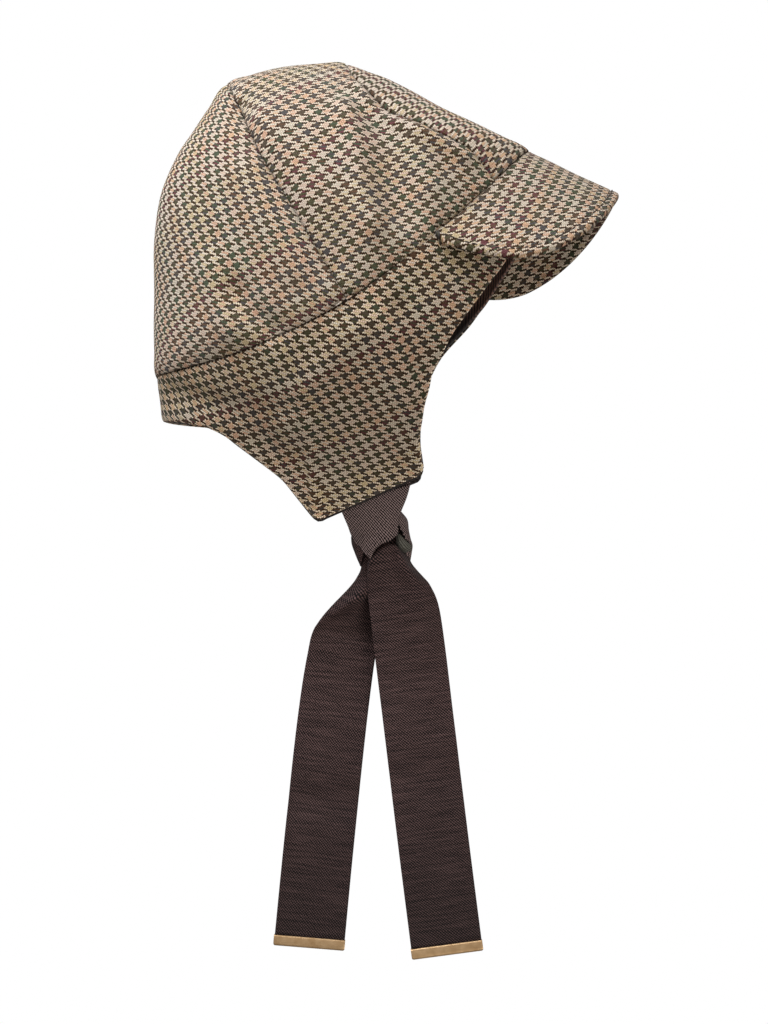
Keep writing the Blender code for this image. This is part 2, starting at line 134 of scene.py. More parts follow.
bodyTable = smoothRows(sectionRows, 24, roundTop=True)


def sectionAt(height):
    down = -np.asarray(height) / mm
    columns = [np.interp(down, -bodyTable[:, 0], bodyTable[:, k]) for k in range(1, 5)]
    back, front, half, power = columns
    return back * mm, front * mm, half * mm, power


def alongSection(x, back, front):
    # a place's share of the way from a section's middle to its end
    reach = np.maximum((front - back) / 2, 0.1 * mm)
    return np.abs((x - (front + back) / 2) / reach)


def bodyField(points):
    # 1 on the outer form, less inside it
    back, front, half, power = sectionAt(points[:, 2])
    along = alongSection(points[:, 0], back, front)
    across = np.abs(points[:, 1] / half)
    above = np.maximum(points[:, 2] - sectionRows[0][0] * mm, 0) / mm
    return along ** power + across ** power + above


def bodyNormal(points, step=1.5 * mm):
    flat = points.reshape(-1, 3)
    slope = np.zeros_like(flat)
    for axis in range(3):
        shift = np.zeros(3)
        shift[axis] = step
        slope[:, axis] = bodyField(flat + shift) - bodyField(flat - shift)
    return (slope / np.linalg.norm(slope, axis=1, keepdims=True)).reshape(points.shape)


def onBody(points):
    # moved along its ray from the hollow's middle onto the form, by halving
    ray = np.reshape(points, (-1, 3)) - hollowMiddle
    low = np.full(len(ray), 0.2)
    high = np.full(len(ray), 4.0)
    for _ in range(34):
        middle = (low + high) / 2
        outside = bodyField(hollowMiddle + ray * middle[:, None]) > 1
        high = np.where(outside, middle, high)
        low = np.where(outside, low, middle)
    return (hollowMiddle + ray * low[:, None]).reshape(np.shape(points))


def widthAt(x, z):
    back, front, half, power = sectionAt(z)
    along = np.clip(alongSection(x, back, front), 0, 1)
    return half * (1 - along ** power) ** (1 / power)


def seamHeight(x):
    line = bandSeamLine
    return line["low"] + line["rise"] * ((x - line["back"]) / (line["front"] - line["back"])) ** 2


def columnsAt(wanted, known, table):
    # every column of a table read at new places
    return np.stack([np.interp(wanted, known, column) for column in table.T], 1)


def lengthsOf(curve):
    steps = np.linalg.norm(np.diff(curve, axis=0), axis=1)
    return np.concatenate([[0], np.cumsum(steps)])


def pointsAt(curve, places):
    # a curve's points at shares of its length
    length = lengthsOf(curve)
    return columnsAt(np.asarray(places) * length[-1], length, curve)


def bandSeam(side, start=None, end=None):
    # one half of the seam, nape to forehead: the form at the seam's own height, found in rounds
    turn = np.linspace(math.pi, 0, 1441)
    x = np.cos(turn) * 0.09
    for _ in range(60):
        back, front, half, power = sectionAt(seamHeight(x))
        along = np.sign(np.cos(turn)) * np.abs(np.cos(turn)) ** (2 / power)
        across = np.sin(turn) ** (2 / power)
        x = 0.5 * x + 0.5 * ((front + back) / 2 + (front - back) / 2 * along)
    curve = np.stack([x, side * half * across, seamHeight(x)], 1)
    if start is not None:
        curve = curve[curve[:, 0] >= start]
    if end is not None:
        curve = curve[curve[:, 0] <= end]
    return curve


def sideLine(rows, side, steps=12):
    # a line drawn on the form, from places seen from the side
    flat = smoothRows(rows, steps) * mm
    width = side * widthAt(flat[:, 0], flat[:, 1])
    return onBody(np.stack([flat[:, 0], width, flat[:, 1]], 1))


def crownSeam(rows, side):
    curve = sideLine(rows, side, 60)
    curve[0, 1] = 0.0
    return curve


def lowerEdge(side, places):
    # the hem at shares of its length, and the seam point above each place
    count = hem["points"]
    dense = pointsAt(np.array(edgeRows) * mm, np.linspace(0, 1, count))
    reach = int(count * hem["softness"] / lengthsOf(dense[:, :2])[-1])
    soft = dense.copy()
    for i in range(1, count - 1):
        near = min(reach, i, count - 1 - i)
        soft[i] = dense[i - near:i + near + 1].mean(0)
    if side > 0:
        front, rear = leftFlap["front"], leftFlap["rear"]
        rearward = (front - soft[:, 0]) / (front - rear)
        napeward = (soft[:, 0] - soft[0, 0]) / (rear - soft[0, 0]) * 4
        soft[:, 1] += leftFlap["lift"] * np.clip(rearward, 0, 1) * np.clip(napeward, 0, 1)
        cheek = softWindow(soft[:, 1], *leftFlap["cheekEnds"]) * (soft[:, 0] > leftFlap["cheekFrom"])
        soft[:, 0] -= leftFlap["cheek"] * cheek
    edge = np.stack([soft[:, 0], side * widthAt(soft[:, 0], soft[:, 1]), soft[:, 1]], 1)
    edge[[0, -1], 1] = 0.0
    joined = pointsAt(np.hstack([edge, soft[:, 2:]]), places)
    seam = bandSeam(side)
    above = columnsAt(joined[:, 3], seam[:, 0], seam)
    above[[0, -1], 1] = 0.0
    return onBody(joined[:, :3]), above


def fourSided(top, bottom, left, right, across, down):
    # a patch between four curves, each given as its points
    u = across[None, :, None]
    v = down[:, None, None]
    both = (1 - v) * top[None] + v * bottom[None] + (1 - u) * left[:, None] + u * right[:, None]
    corners = (1 - v) * ((1 - u) * top[0] + u * top[-1])
    corners = corners + v * ((1 - u) * bottom[0] + u * bottom[-1])
    return both - corners


def sharesWithEdges(length, count, near=(0.0, 0.12, 0.3, 0.55, 0.85, 1.2, 1.7)):
    # shares of a length, closer together over its last two millimetres
    close = np.array(near) * mm / length
    core = np.linspace(close[-1], 1 - close[-1], count)
    return np.concatenate([close[:-1], core, 1 - close[:-1][::-1]])


def awayFrom(points, curve):
    # distance from each point to a curve
    start, step = curve[:-1], np.diff(curve, axis=0)
    size = (step ** 2).sum(1)
    start, step, size = start[size > 1e-12], step[size > 1e-12], size[size > 1e-12]
    best = []
    for part in np.array_split(points.reshape(-1, 3), 40):
        way = part[:, None] - start[None]
        t = np.clip((way * step).sum(2) / size, 0, 1)
        best.append(np.linalg.norm(way - t[..., None] * step, axis=2).min(1))
    return np.concatenate(best).reshape(points.shape[:-1])


def turnedIn(away, radius):
    # how deep a turned-in cloth edge lies at a distance from the seam
    inside = np.clip(1 - away / radius, 0, 1)
    return radius * (1 - np.sqrt(np.clip(1 - inside ** 2, 0, 1)))


def bell(away, width):
    return np.exp(-(away / width) ** 2)


def puffed(away, height, width):
    # a swell that starts at the seam and is highest at its width
    t = away / width
    return height * t * np.exp(1 - t)


def softNoise(points, size, seed):
    # smooth random heights from -1 to 1 over space, the same at each run
    lattice = np.random.default_rng(seed).uniform(-1, 1, (16, 16, 16))
    flat = points.reshape(-1, 3) / size + 400
    cell = np.floor(flat).astype(int)
    t = smoothStep(flat - cell)
    total = np.zeros(len(flat))
    for corner in range(8):
        bits = np.array([corner & 1, corner >> 1 & 1, corner >> 2 & 1])
        weight = np.where(bits, t, 1 - t).prod(1)
        at = (cell + bits) % 16
        total += weight * lattice[at[:, 0], at[:, 1], at[:, 2]]
    return total.reshape(points.shape[:-1])


def rippled(points, ripple, seed):
    # soft noise from its size and height
    size, height = ripple
    return softNoise(points, size, seed) * height


# camera, level with the lower crown and pure side on
cameraPlace = {
    "target": (0.017, 0.0, -0.091),
    "distance": 1.1,
    "lookUp": math.radians(2.0),
    "lens": 77.34,
    "sensorHeight": 36.0,
}
lensData = bpy.data.cameras.new("sideCamera")
lensData.sensor_fit = "VERTICAL"
lensData.sensor_height = cameraPlace["sensorHeight"]
lensData.lens = cameraPlace["lens"]
lensData.clip_end = 50.0
camera = bpy.data.objects.new("sideCamera", lensData)
scene.collection.objects.link(camera)
lookUp = cameraPlace["lookUp"]
backFrom = np.array([0.0, math.cos(lookUp), math.sin(lookUp)]) * cameraPlace["distance"]
camera.location = np.array(cameraPlace["target"]) - backFrom
camera.rotation_euler = (math.pi / 2 + lookUp, 0, 0)
scene.camera = camera
print("camera set")


def paint(red, green, blue):
    # a colour as a screen shows it, made linear
    values = []
    for level in (red, green, blue):
        share = level / 255
        values.append(share / 12.92 if share <= 0.04045 else ((share + 0.055) / 1.055) ** 2.4)
    return (*values, 1.0)


def joinTo(tree, socket, value):
    if isinstance(value, bpy.types.NodeSocket):
        tree.links.new(value, socket)
    else:
        socket.default_value = value


def calculator(tree):
    # number nodes of one tree, so that sums read in one line
    def calc(operation, *values):
        node = tree.nodes.new("ShaderNodeMath")
        node.operation = operation
        for socket, value in zip(node.inputs, values):
            joinTo(tree, socket, value)
        return node.outputs[0]

    return calc


def mixNumber(tree, share, first, second, kind="FLOAT", blend="MIX"):
    node = tree.nodes.new("ShaderNodeMix")
    node.data_type = kind
    node.blend_type = blend
    for words, value in (("Factor", share), ("A", first), ("B", second)):
        joinTo(tree, node.inputs[words], value)
    return node.outputs["Result"]


def mixColour(tree, share, first, second, blend="MIX"):
    return mixNumber(tree, share, first, second, "RGBA", blend)


def splitNode(tree, vector):
    node = tree.nodes.new("ShaderNodeSeparateXYZ")
    joinTo(tree, node.inputs[0], vector)
    return node.outputs


def combineNode(tree, *values):
    node = tree.nodes.new("ShaderNodeCombineXYZ")
    for socket, value in zip(node.inputs, values):
        joinTo(tree, socket, value)
    return node.outputs[0]


def stepRamp(tree, value, colours):
    # even bands of plain colour
    node = tree.nodes.new("ShaderNodeValToRGB")
    node.color_ramp.interpolation = "CONSTANT"
    band = node.color_ramp.elements
    while len(band) < len(colours):
        band.new(1.0)
    for k, colour in enumerate(colours):
        band[k].position = k / len(colours)
        band[k].color = colour
    joinTo(tree, node.inputs["Fac"], value)
    return node.outputs["Color"]


def noiseNode(tree, vector, scale, detail=2.0):
    node = tree.nodes.new("ShaderNodeTexNoise")
    joinTo(tree, node.inputs["Vector"], vector)
    node.inputs["Scale"].default_value = scale
    node.inputs["Detail"].default_value = detail
    return node.outputs["Fac"]


def randomNode(tree, value):
    node = tree.nodes.new("ShaderNodeTexWhiteNoise")
    node.noise_dimensions = "1D"
    joinTo(tree, node.inputs["W"], value)
    return node.outputs["Value"]


def newGroup(name, inputs, outputs):
    # an empty node group with named sockets
    group = bpy.data.node_groups.new(name, "ShaderNodeTree")
    for words, kind, value in inputs:
        socket = group.interface.new_socket(words, in_out="INPUT", socket_type="NodeSocket" + kind)
        if value is not None:
            socket.default_value = value
    for words, kind in outputs:
        group.interface.new_socket(words, in_out="OUTPUT", socket_type="NodeSocket" + kind)
    return group, group.nodes.new("NodeGroupInput").outputs, group.nodes.new("NodeGroupOutput").inputs


# dye lots of each yarn, and the tones where a light yarn crosses a dark one
yarnColours = {
    "light": [
        paint(243, 201, 164), paint(246, 226, 209), paint(240, 195, 166), paint(240, 226, 206),
        paint(235, 212, 171), paint(247, 218, 196),
    ],
    "dark": [
        paint(93, 106, 90), paint(99, 98, 103), paint(128, 84, 93), paint(117, 92, 76),
        paint(98, 98, 78), paint(106, 96, 86),
    ],
    "lightCrossed": paint(255, 238, 216),
    "darkCrossed": paint(62, 34, 17),
    "gapShadeWarmth": (0.82, 1.05, 1.5),
}


def weaveGroup():
    # 2/2 twill of groups of four light and four dark yarns both ways
    group, given, made = newGroup(
        "houndstoothWeave",
        [("Cells", "Vector", None), ("Wander", "Float", 0.25), ("Crossed Contrast", "Float", 0.85),
         ("Deep Tone", "Vector", (1.0, 1.0, 1.0)), ("Gap Tone", "Float", 0.46)],
        [("Color", "Color"), ("Height", "Float")],
    )
    calc = calculator(group)
    place = splitNode(group, given["Cells"])

    def threads(along, wanderScale):
        # yarns counted along one way, eight to a cell and a little out of line
        wander = noiseNode(group, given["Cells"], wanderScale)
        moved = calc("MULTIPLY", calc("SUBTRACT", wander, 0.5), given["Wander"])
        return calc("MULTIPLY_ADD", moved, 4.0, calc("MULTIPLY_ADD", along, 8.0, 4000.0))

    u = threads(place[0], 3.3)
    v = threads(place[1], 2.1)
    i = calc("FLOOR", u)
    j = calc("FLOOR", v)
    over = calc("LESS_THAN", calc("FLOORED_MODULO", calc("SUBTRACT", i, j), 4.0), 1.5)
    warpDark, weftDark = [calc("LESS_THAN", calc("FLOORED_MODULO", k, 8.0), 3.5) for k in (i, j)]
    dark = mixNumber(group, over, weftDark, warpDark)
    crossed = calc("ABSOLUTE", calc("SUBTRACT", warpDark, weftDark))

    # each group of four yarns has one dye lot
    warpLot, weftLot = [calc("FLOOR", calc("DIVIDE", yarn, 4.0)) for yarn in (u, v)]
    weftPick = randomNode(group, calc("ADD", weftLot, 57.3))
    pick = mixNumber(group, over, weftPick, randomNode(group, warpLot))
    share = calc("MULTIPLY", crossed, given["Crossed Contrast"])
    light, deep = [
        mixColour(group, share, stepRamp(group, pick, yarnColours[tone]), yarnColours[tone + "Crossed"])
        for tone in ("light", "dark")
    ]
    deep = mixColour(group, 1.0, deep, given["Deep Tone"], "MULTIPLY")
    colour = mixColour(group, dark, light, deep)

    # a yarn's round top, and the dip where it passes under
    across = mixNumber(group, over, calc("FRACT", v), calc("FRACT", u))
    roundTop = calc("SINE", calc("MULTIPLY", calc("PINGPONG", across, 0.5), math.pi))
    warpRun = calc("SUBTRACT", v, calc("SUBTRACT", i, 1.0))
    weftRun = calc("SUBTRACT", u, calc("ADD", j, 2.0))
    run = calc("FLOORED_MODULO", mixNumber(group, over, weftRun, warpRun), 4.0)
    swell = calc("MAXIMUM", calc("SINE", calc("MULTIPLY", run, math.pi / 2)), 0.0)
    relief = calc("MULTIPLY", calc("SQRT", roundTop), calc("SQRT", swell))

    # fibres along each yarn
    stretched = combineNode(
        group,
        calc("MULTIPLY", u, mixNumber(group, over, 1.0, 5.0)),
        calc("MULTIPLY", v, mixNumber(group, over, 5.0, 1.0)),
        over,
    )
    fibre = noiseNode(group, stretched, 0.9, 3.0)
    # painted shade in the gaps between yarns, deeper among the dark yarns
    deepGap = calc("MULTIPLY", given["Gap Tone"], 0.8)
    gap = mixNumber(group, relief, mixNumber(group, dark, given["Gap Tone"], deepGap), 1.0)
    shade = calc("MULTIPLY", gap, calc("MULTIPLY_ADD", fibre, 0.7, 0.75))
    # the painted shade in the gaps between yarns is a little warmer than the yarns' tops
    tone = combineNode(group, *[calc("POWER", shade, power) for power in yarnColours["gapShadeWarmth"]])
    joinTo(group, made["Color"], mixColour(group, 1.0, colour, tone, "MULTIPLY"))
    joinTo(group, made["Height"], calc("MULTIPLY_ADD", fibre, 0.25, relief))
    return group


def newMaterial(name, **settings):
    material = bpy.data.materials.new(name)
    material.use_nodes = True
    tree = material.node_tree
    shader = tree.nodes["Principled BSDF"]
    for words, value in settings.items():
        shader.inputs[words.replace("_", " ")].default_value = value
    return material, tree, shader


def placeGroup(tree, group, **values):
    node = tree.nodes.new("ShaderNodeGroup")
    node.node_tree = group
    for words, value in values.items():
        joinTo(tree, node.inputs[words.replace("_", " ")], value)
    return node.outputs


def addBump(tree, shader, height, distance):
    bump = tree.nodes.new("ShaderNodeBump")
    bump.inputs["Distance"].default_value = distance
    joinTo(tree, bump.inputs["Height"], height)
    joinTo(tree, shader.inputs["Normal"], bump.outputs["Normal"])


def clothPlaceNode(tree):
    node = tree.nodes.new("ShaderNodeUVMap")
    node.uv_map = "cloth"
    return node.outputs[0]


def objectPlaceNode(tree):
    return tree.nodes.new("ShaderNodeTexCoord").outputs["Object"]


def seamMarkNode(tree):
    # painted shade and light: 1 in a seam, 0 away from it, below 0 where light is painted on the hem and
    # the lower flap
    node = tree.nodes.new("ShaderNodeAttribute")
    node.attribute_name = "seam"
    return node.outputs["Fac"]


def darkened(tree, colour, level):
    grey = combineNode(tree, level, level, level)
    return mixColour(tree, 1.0, colour, grey, "MULTIPLY")


wool = {"roughness": 0.92, "sheen": 0.06, "specular": 0.08, "relief": 0.35 * mm, "paintedShadeAndLight": 0.6}
# each wool's tone of the dark yarns, and of the painted shade in the gaps between yarns; the second wool
# is a copy with painted shade, for the band, flaps and the visor's under layer
woolTones = {
    "houndstoothWool": ((1.15, 1.07, 0.96), 0.39),
    "houndstoothBand": ((0.74, 0.66, 0.56), 0.27),
}
houndstoothWeave = weaveGroup()


def woolMaterial(name):
    deepTone, gapTone = woolTones[name]
    material, tree, shader = newMaterial(
        name, Roughness=wool["roughness"], Sheen_Weight=wool["sheen"],
        Specular_IOR_Level=wool["specular"],
    )
    weave = placeGroup(
        tree, houndstoothWeave, Cells=clothPlaceNode(tree), Deep_Tone=deepTone, Gap_Tone=gapTone,
    )
    # painted shade along the seams, and painted light where the mark is below 0
    level = calculator(tree)("MULTIPLY_ADD", seamMarkNode(tree), -wool["paintedShadeAndLight"], 1.0)
    joinTo(tree, shader.inputs["Base Color"], darkened(tree, weave["Color"], level))
    addBump(tree, shader, weave["Height"], wool["relief"])
    return material


houndstooth, shadedHoundstooth = [woolMaterial(name) for name in woolTones]

# between: the tone between two ribs, as a share of the ribs' own
ribbedLining = {
    "colour": paint(150, 112, 96),
    "paintedShadeColour": paint(20, 12, 8),
    "paintedShadeShare": 0.92,
    "between": 0.15,
    "ribWidth": 2.2 * mm,
    "relief": 0.25 * mm,
}


def liningMaterial():
    material, tree, shader = newMaterial("ribbedLining", Roughness=0.7, Sheen_Weight=0.15)
    calc = calculator(tree)
    across = splitNode(tree, clothPlaceNode(tree))[0]
    ribs = calc("MULTIPLY", calc("DIVIDE", across, ribbedLining["ribWidth"]), 2 * math.pi)
    height = calc("MULTIPLY_ADD", calc("SINE", ribs), 0.5, 0.5)
    fine = noiseNode(tree, clothPlaceNode(tree), 2600.0)
    colour = ribbedLining["colour"]
    between = (*[ribbedLining["between"] * level for level in colour[:3]], 1.0)
    colour = mixColour(tree, height, between, colour)
    # painted shade along the lining's hem
    paintedShadeShare = calc("MULTIPLY", seamMarkNode(tree), ribbedLining["paintedShadeShare"])
    colour = mixColour(tree, paintedShadeShare, colour, ribbedLining["paintedShadeColour"])
    joinTo(tree, shader.inputs["Base Color"], colour)
    addBump(tree, shader, calc("MULTIPLY_ADD", fine, 0.3, height), ribbedLining["relief"])
    return material


darkLining = liningMaterial()


def threadMaterial():
    material, tree, shader = newMaterial("sewingThread", Roughness=0.6)
    twist = noiseNode(tree, objectPlaceNode(tree), 2200.0)
    colour = mixColour(tree, twist, paint(38, 28, 20), paint(92, 74, 58))
    joinTo(tree, shader.inputs["Base Color"], colour)
    addBump(tree, shader, twist, 0.08 * mm)
    return material


sewingThread = threadMaterial()


def twillGroup():
    # fine slanted twill lines with a bead wherever a warp shows
    group, given, made = newGroup(
        "ribbonTwill",
        [("Place", "Vector", None), ("Spacing", "Float", 0.7 * mm), ("Slant", "Float", 1.5),
         ("Beads", "Float", 1.0), ("Bars", "Float", 0.2), ("Contrast", "Float", 1.0)],
        [("Mask", "Float"), ("Height", "Float")],
    )
    calc = calculator(group)

    def around(value, middle, share, rest):
        return calc("MULTIPLY_ADD", calc("SUBTRACT", value, middle), share, rest)

    place = splitNode(group, given["Place"])
    x, y = [calc("DIVIDE", place[k], given["Spacing"]) for k in range(2)]
    wander = noiseNode(group, given["Place"], 420.0)
    lineWay = calc("MULTIPLY_ADD", wander, 0.8, calc("MULTIPLY_ADD", x, given["Slant"], y))
    beadWay = calc("SUBTRACT", calc("MULTIPLY", x, 0.9), y)
    line, bead = [calc("MULTIPLY", calc("PINGPONG", way, 0.5), 2.0) for way in (lineWay, beadWay)]
    bead = mixNumber(group, given["Beads"], 0.6, bead)
    relief = calc("MULTIPLY", line, calc("MULTIPLY_ADD", bead, 0.8, 0.2))
    barPlace = combineNode(group, calc("MULTIPLY", x, 0.08), calc("MULTIPLY", y, 1.3))
    mask = around(noiseNode(group, barPlace, 0.9), 0.5, given["Bars"], relief)
    mask = around(noiseNode(group, given["Place"], 5200.0, 1.0), 0.5, 0.5, mask)
    pivot = 0.36  # the mask's level that a higher contrast leaves as it is
    mask = around(mask, pivot, given["Contrast"], pivot)
    mask.node.use_clamp = True
    joinTo(group, made["Mask"], mask)
    joinTo(group, made["Height"], relief)
    return group


# weft, warp, spacing, slant, beads, bars, contrast, painted shade tone of the low ends
ribbonLooks = {
    "ribbonFace": (paint(5, 2, 1), paint(174, 148, 143), 1.9 * mm, 1.6, 0.5, 0.1, 6.0, 1.0),
    "ribbonTail": (paint(13, 5, 4), paint(119, 91, 87), 1.42 * mm, 1.0, 0.7, 0.6, 3.2, 0.5),
    "ribbonBack": (paint(50, 48, 40), paint(150, 146, 134), 1.1 * mm, 0.9, 0.3, 0.3, 1.2, 1.0),
}
paintedShadeEnds = {"top": -180 * mm, "bottom": -300 * mm}
ribbonTwill = twillGroup()


def ribbonMaterial(name):
    weft, warp, spacing, slant, beads, bars, contrast, paintedShadeTone = ribbonLooks[name]
    material, tree, shader = newMaterial(name, Roughness=0.7, Specular_IOR_Level=0.18, Sheen_Weight=0.05)
    weave = placeGroup(
        tree, ribbonTwill, Place=clothPlaceNode(tree), Spacing=spacing, Slant=slant, Beads=beads,
        Bars=bars, Contrast=contrast,
    )
    # painted shade: darker towards the low ends
    low = tree.nodes.new("ShaderNodeMapRange")
    joinTo(tree, low.inputs["Value"], splitNode(tree, objectPlaceNode(tree))[2])
    low.inputs["From Min"].default_value = paintedShadeEnds["bottom"]
    low.inputs["From Max"].default_value = paintedShadeEnds["top"]
    low.inputs["To Min"].default_value = paintedShadeTone
    colour = darkened(tree, mixColour(tree, weave["Mask"], weft, warp), low.outputs[0])
    joinTo(tree, shader.inputs["Base Color"], colour)
    addBump(tree, shader, weave["Height"], 0.1 * mm)
    return material


ribbonFace, ribbonTail, ribbonBack = [ribbonMaterial(name) for name in ribbonLooks]

brass = {
    "bright": paint(226, 190, 145),
    "old": paint(184, 144, 98),
    "roughness": 0.25,
    "brushing": (60.0, 400.0, 2600.0),
    "relief": 0.03 * mm,
}


def brassMaterial():
    material, tree, shader = newMaterial("satinBrass", Metallic=0.75)
    calc = calculator(tree)
    place = objectPlaceNode(tree)
    blotch = noiseNode(tree, place, 260.0, 4.0)
    stretch = tree.nodes.new("ShaderNodeMapping")
    joinTo(tree, stretch.inputs["Vector"], place)
    stretch.inputs["Scale"].default_value = brass["brushing"]
    brushed = noiseNode(tree, stretch.outputs[0], 1.0, 3.0)
    worn = calc("MULTIPLY_ADD", blotch, 1.6, -0.35)
    joinTo(tree, shader.inputs["Base Color"], mixColour(tree, worn, brass["old"], brass["bright"]))
    joinTo(tree, shader.inputs["Roughness"], calc("MULTIPLY_ADD", brushed, 0.3, brass["roughness"]))
    addBump(tree, shader, calc("ADD", brushed, blotch), brass["relief"])
    return material


satinBrass = brassMaterial()
print("materials made")


def gridFaces(rows, columns, ring=False):
    base = np.arange(rows * columns).reshape(rows, columns)
    if ring:
        base = np.hstack([base, base[:, :1]])
    a, b, c, d = base[:-1, :-1], base[1:, :-1], base[1:, 1:], base[:-1, 1:]
    return np.stack([a, b, c, d], -1).reshape(-1, 4)


def gridNormal(grid):
    normal = np.cross(np.gradient(grid, axis=0), np.gradient(grid, axis=1))
    return normal / np.maximum(np.linalg.norm(normal, axis=2, keepdims=True), 1e-12)


def cornerOrder(mesh):
    # the point of each face corner
    order = np.zeros(len(mesh.loops), int)
    mesh.loops.foreach_get("vertex_index", order)
    return order


def makeObject(name, points, faces, material, cloth=None, seam=None):
    mesh = bpy.data.meshes.new(name)
    mesh.from_pydata(np.asarray(points).tolist(), [], [tuple(map(int, f)) for f in faces])
    mesh.validate()
    if cloth is not None:
        layer = mesh.uv_layers.new(name="cloth")
        layer.data.foreach_set("uv", np.asarray(cloth, float)[cornerOrder(mesh)].ravel())
    if seam is not None:
        mark = mesh.attributes.new("seam", "FLOAT", "POINT")
        mark.data.foreach_set("value", np.asarray(seam, float).ravel())
    mesh.shade_smooth()
    mesh.materials.append(material)
    thing = bpy.data.objects.new(name, mesh)
    scene.collection.objects.link(thing)
    return thing


def faceOutward(thing, closeHoles=False):
    # every face turned outward, after any hole is closed
    shape = bmesh.new()
    shape.from_mesh(thing.data)
    if closeHoles:
        bmesh.ops.holes_fill(shape, edges=[edge for edge in shape.edges if edge.is_boundary], sides=0)
    bmesh.ops.recalc_face_normals(shape, faces=shape.faces)
    if shape.calc_volume(signed=True) < 0:
        bmesh.ops.reverse_faces(shape, faces=shape.faces)
    shape.to_mesh(thing.data)
    shape.free()


def shell(name, outer, inner, material, cloth, seam=None, ring=False):
    # a closed piece of cloth between two grids of points; a ring is a bag open at its last row
    rows, columns = outer.shape[:2]
    count = rows * columns
    front = gridFaces(rows, columns, ring)
    back = front[:, ::-1] + count
    index = np.arange(count).reshape(rows, columns)
    rim = np.concatenate([index[0, :-1], index[:-1, -1], index[-1, :0:-1], index[:0:-1, 0]])
    if ring:
        rim = index[-1]
    nextOn = np.roll(rim, -1)
    sides = np.stack([rim, nextOn, nextOn + count, rim + count], 1)
    points = np.vstack([outer.reshape(-1, 3), inner.reshape(-1, 3)])
    places = np.vstack([cloth.reshape(-1, 2)] * 2)
    marks = None
    if seam is not None:
        marks = np.concatenate([seam.ravel(), seam.ravel() if ring else np.ones(count)])
    thing = makeObject(name, points, np.vstack([front, back, sides]), material, places, marks)
    faceOutward(thing, closeHoles=ring)
    return thing


def flattened(patch, across, down, outward=None):
    # flat cloth coordinates of a patch in metres as seen from outside, its middle column upright
    pick = [np.unique(np.linspace(0, len(share) - 1, 40).astype(int)) for share in (down, across)]
    coarse = patch[np.ix_(*pick)]
    rows, columns = coarse.shape[:2]
    thing = makeObject("flattening", coarse.reshape(-1, 3), gridFaces(rows, columns), houndstooth)
    mesh = thing.data
    mesh.uv_layers.new(name="flat")
    bpy.ops.object.select_all(action="DESELECT")
    bpy.context.view_layer.objects.active = thing
    thing.select_set(True)
    bpy.ops.object.mode_set(mode="EDIT")
    bpy.ops.mesh.select_all(action="SELECT")
    bpy.ops.uv.unwrap(method="ANGLE_BASED", margin=0.0)
    bpy.ops.uv.minimize_stretch(fill_holes=False, iterations=60)
    bpy.ops.object.mode_set(mode="OBJECT")
    read = np.zeros(2 * len(mesh.loops))
    mesh.uv_layers["flat"].data.foreach_get("uv", read)
    flat = np.zeros((rows * columns, 2))
    flat[cornerOrder(mesh)] = read.reshape(-1, 2)
    bpy.data.objects.remove(thing)
    bpy.data.meshes.remove(mesh)
    flat = flat.reshape(rows, columns, 2)

    def run(grid):
        return np.linalg.norm(np.diff(grid, axis=0), axis=2).sum()

    middleRow, middleColumn = rows // 2, columns // 2
    flat = flat * run(coarse) / run(flat)
    flat = flat - flat[middleRow, middleColumn]
    fall = flat[-1, middleColumn] - flat[0, middleColumn]
    turn = math.atan2(-fall[0], -fall[1])
    flat = flat @ np.array([
        [math.cos(turn), math.sin(turn)], [-math.sin(turn), math.cos(turn)],
    ])
    middle = coarse[middleRow, middleColumn]
    wayAcross = coarse[middleRow, middleColumn + 1] - middle
    wayUp = middle - coarse[middleRow + 1, middleColumn]
    facing = np.cross(wayAcross, wayUp) @ (middle - hollowMiddle if outward is None else outward)
    if (flat[middleRow, -1, 0] - flat[middleRow, 0, 0]) * facing < 0:
        flat[..., 0] *= -1
    wide = np.array([columnsAt(across, across[pick[1]], row) for row in flat])
    return columnsAt(down, down[pick[0]], wide.reshape(rows, -1)).reshape(len(down), len(across), 2)


def onGrain(flat, grain, cell):
    # places in the weave, counted in pattern cells along warp and weft
    angle = math.radians(grain)
    u = flat[..., 0] * math.cos(angle) + flat[..., 1] * math.sin(angle)
    v = flat[..., 0] * math.sin(angle) - flat[..., 1] * math.cos(angle)
    return np.stack([u / cell[0], v / cell[1]], -1)


# crown: back piece, two side pieces that meet along the top, front piece
crown = {
    "rows": 96,
    "columns": 110,
    "wall": 1.6 * mm,
    "edgeRadius": 1.0 * mm,
    "edgeGap": 0.1 * mm,
    "seamLine": 0.7 * mm,
    "puff": 1.1 * mm,
    "puffWidth": 8.0 * mm,
    "settle": 1.3 * mm,
    "settleWidth": 14.0 * mm,
    # noise as size and height
    "pucker": (5.0 * mm, 0.35 * mm),
    "ripple": (21.0 * mm, 0.45 * mm),
    "tip": 1.2 * mm,
    "cell": (5.7 * mm, 5.35 * mm),
    "grain": {"back_panel": 35.0, "side_panel_right": 13.0, "side_panel_left": -13.0},
    "frontCell": (5.7 * mm, 8.4 * mm),
    "frontCalm": 0.8 * mm,
    "frontWay": (30, 70),
}
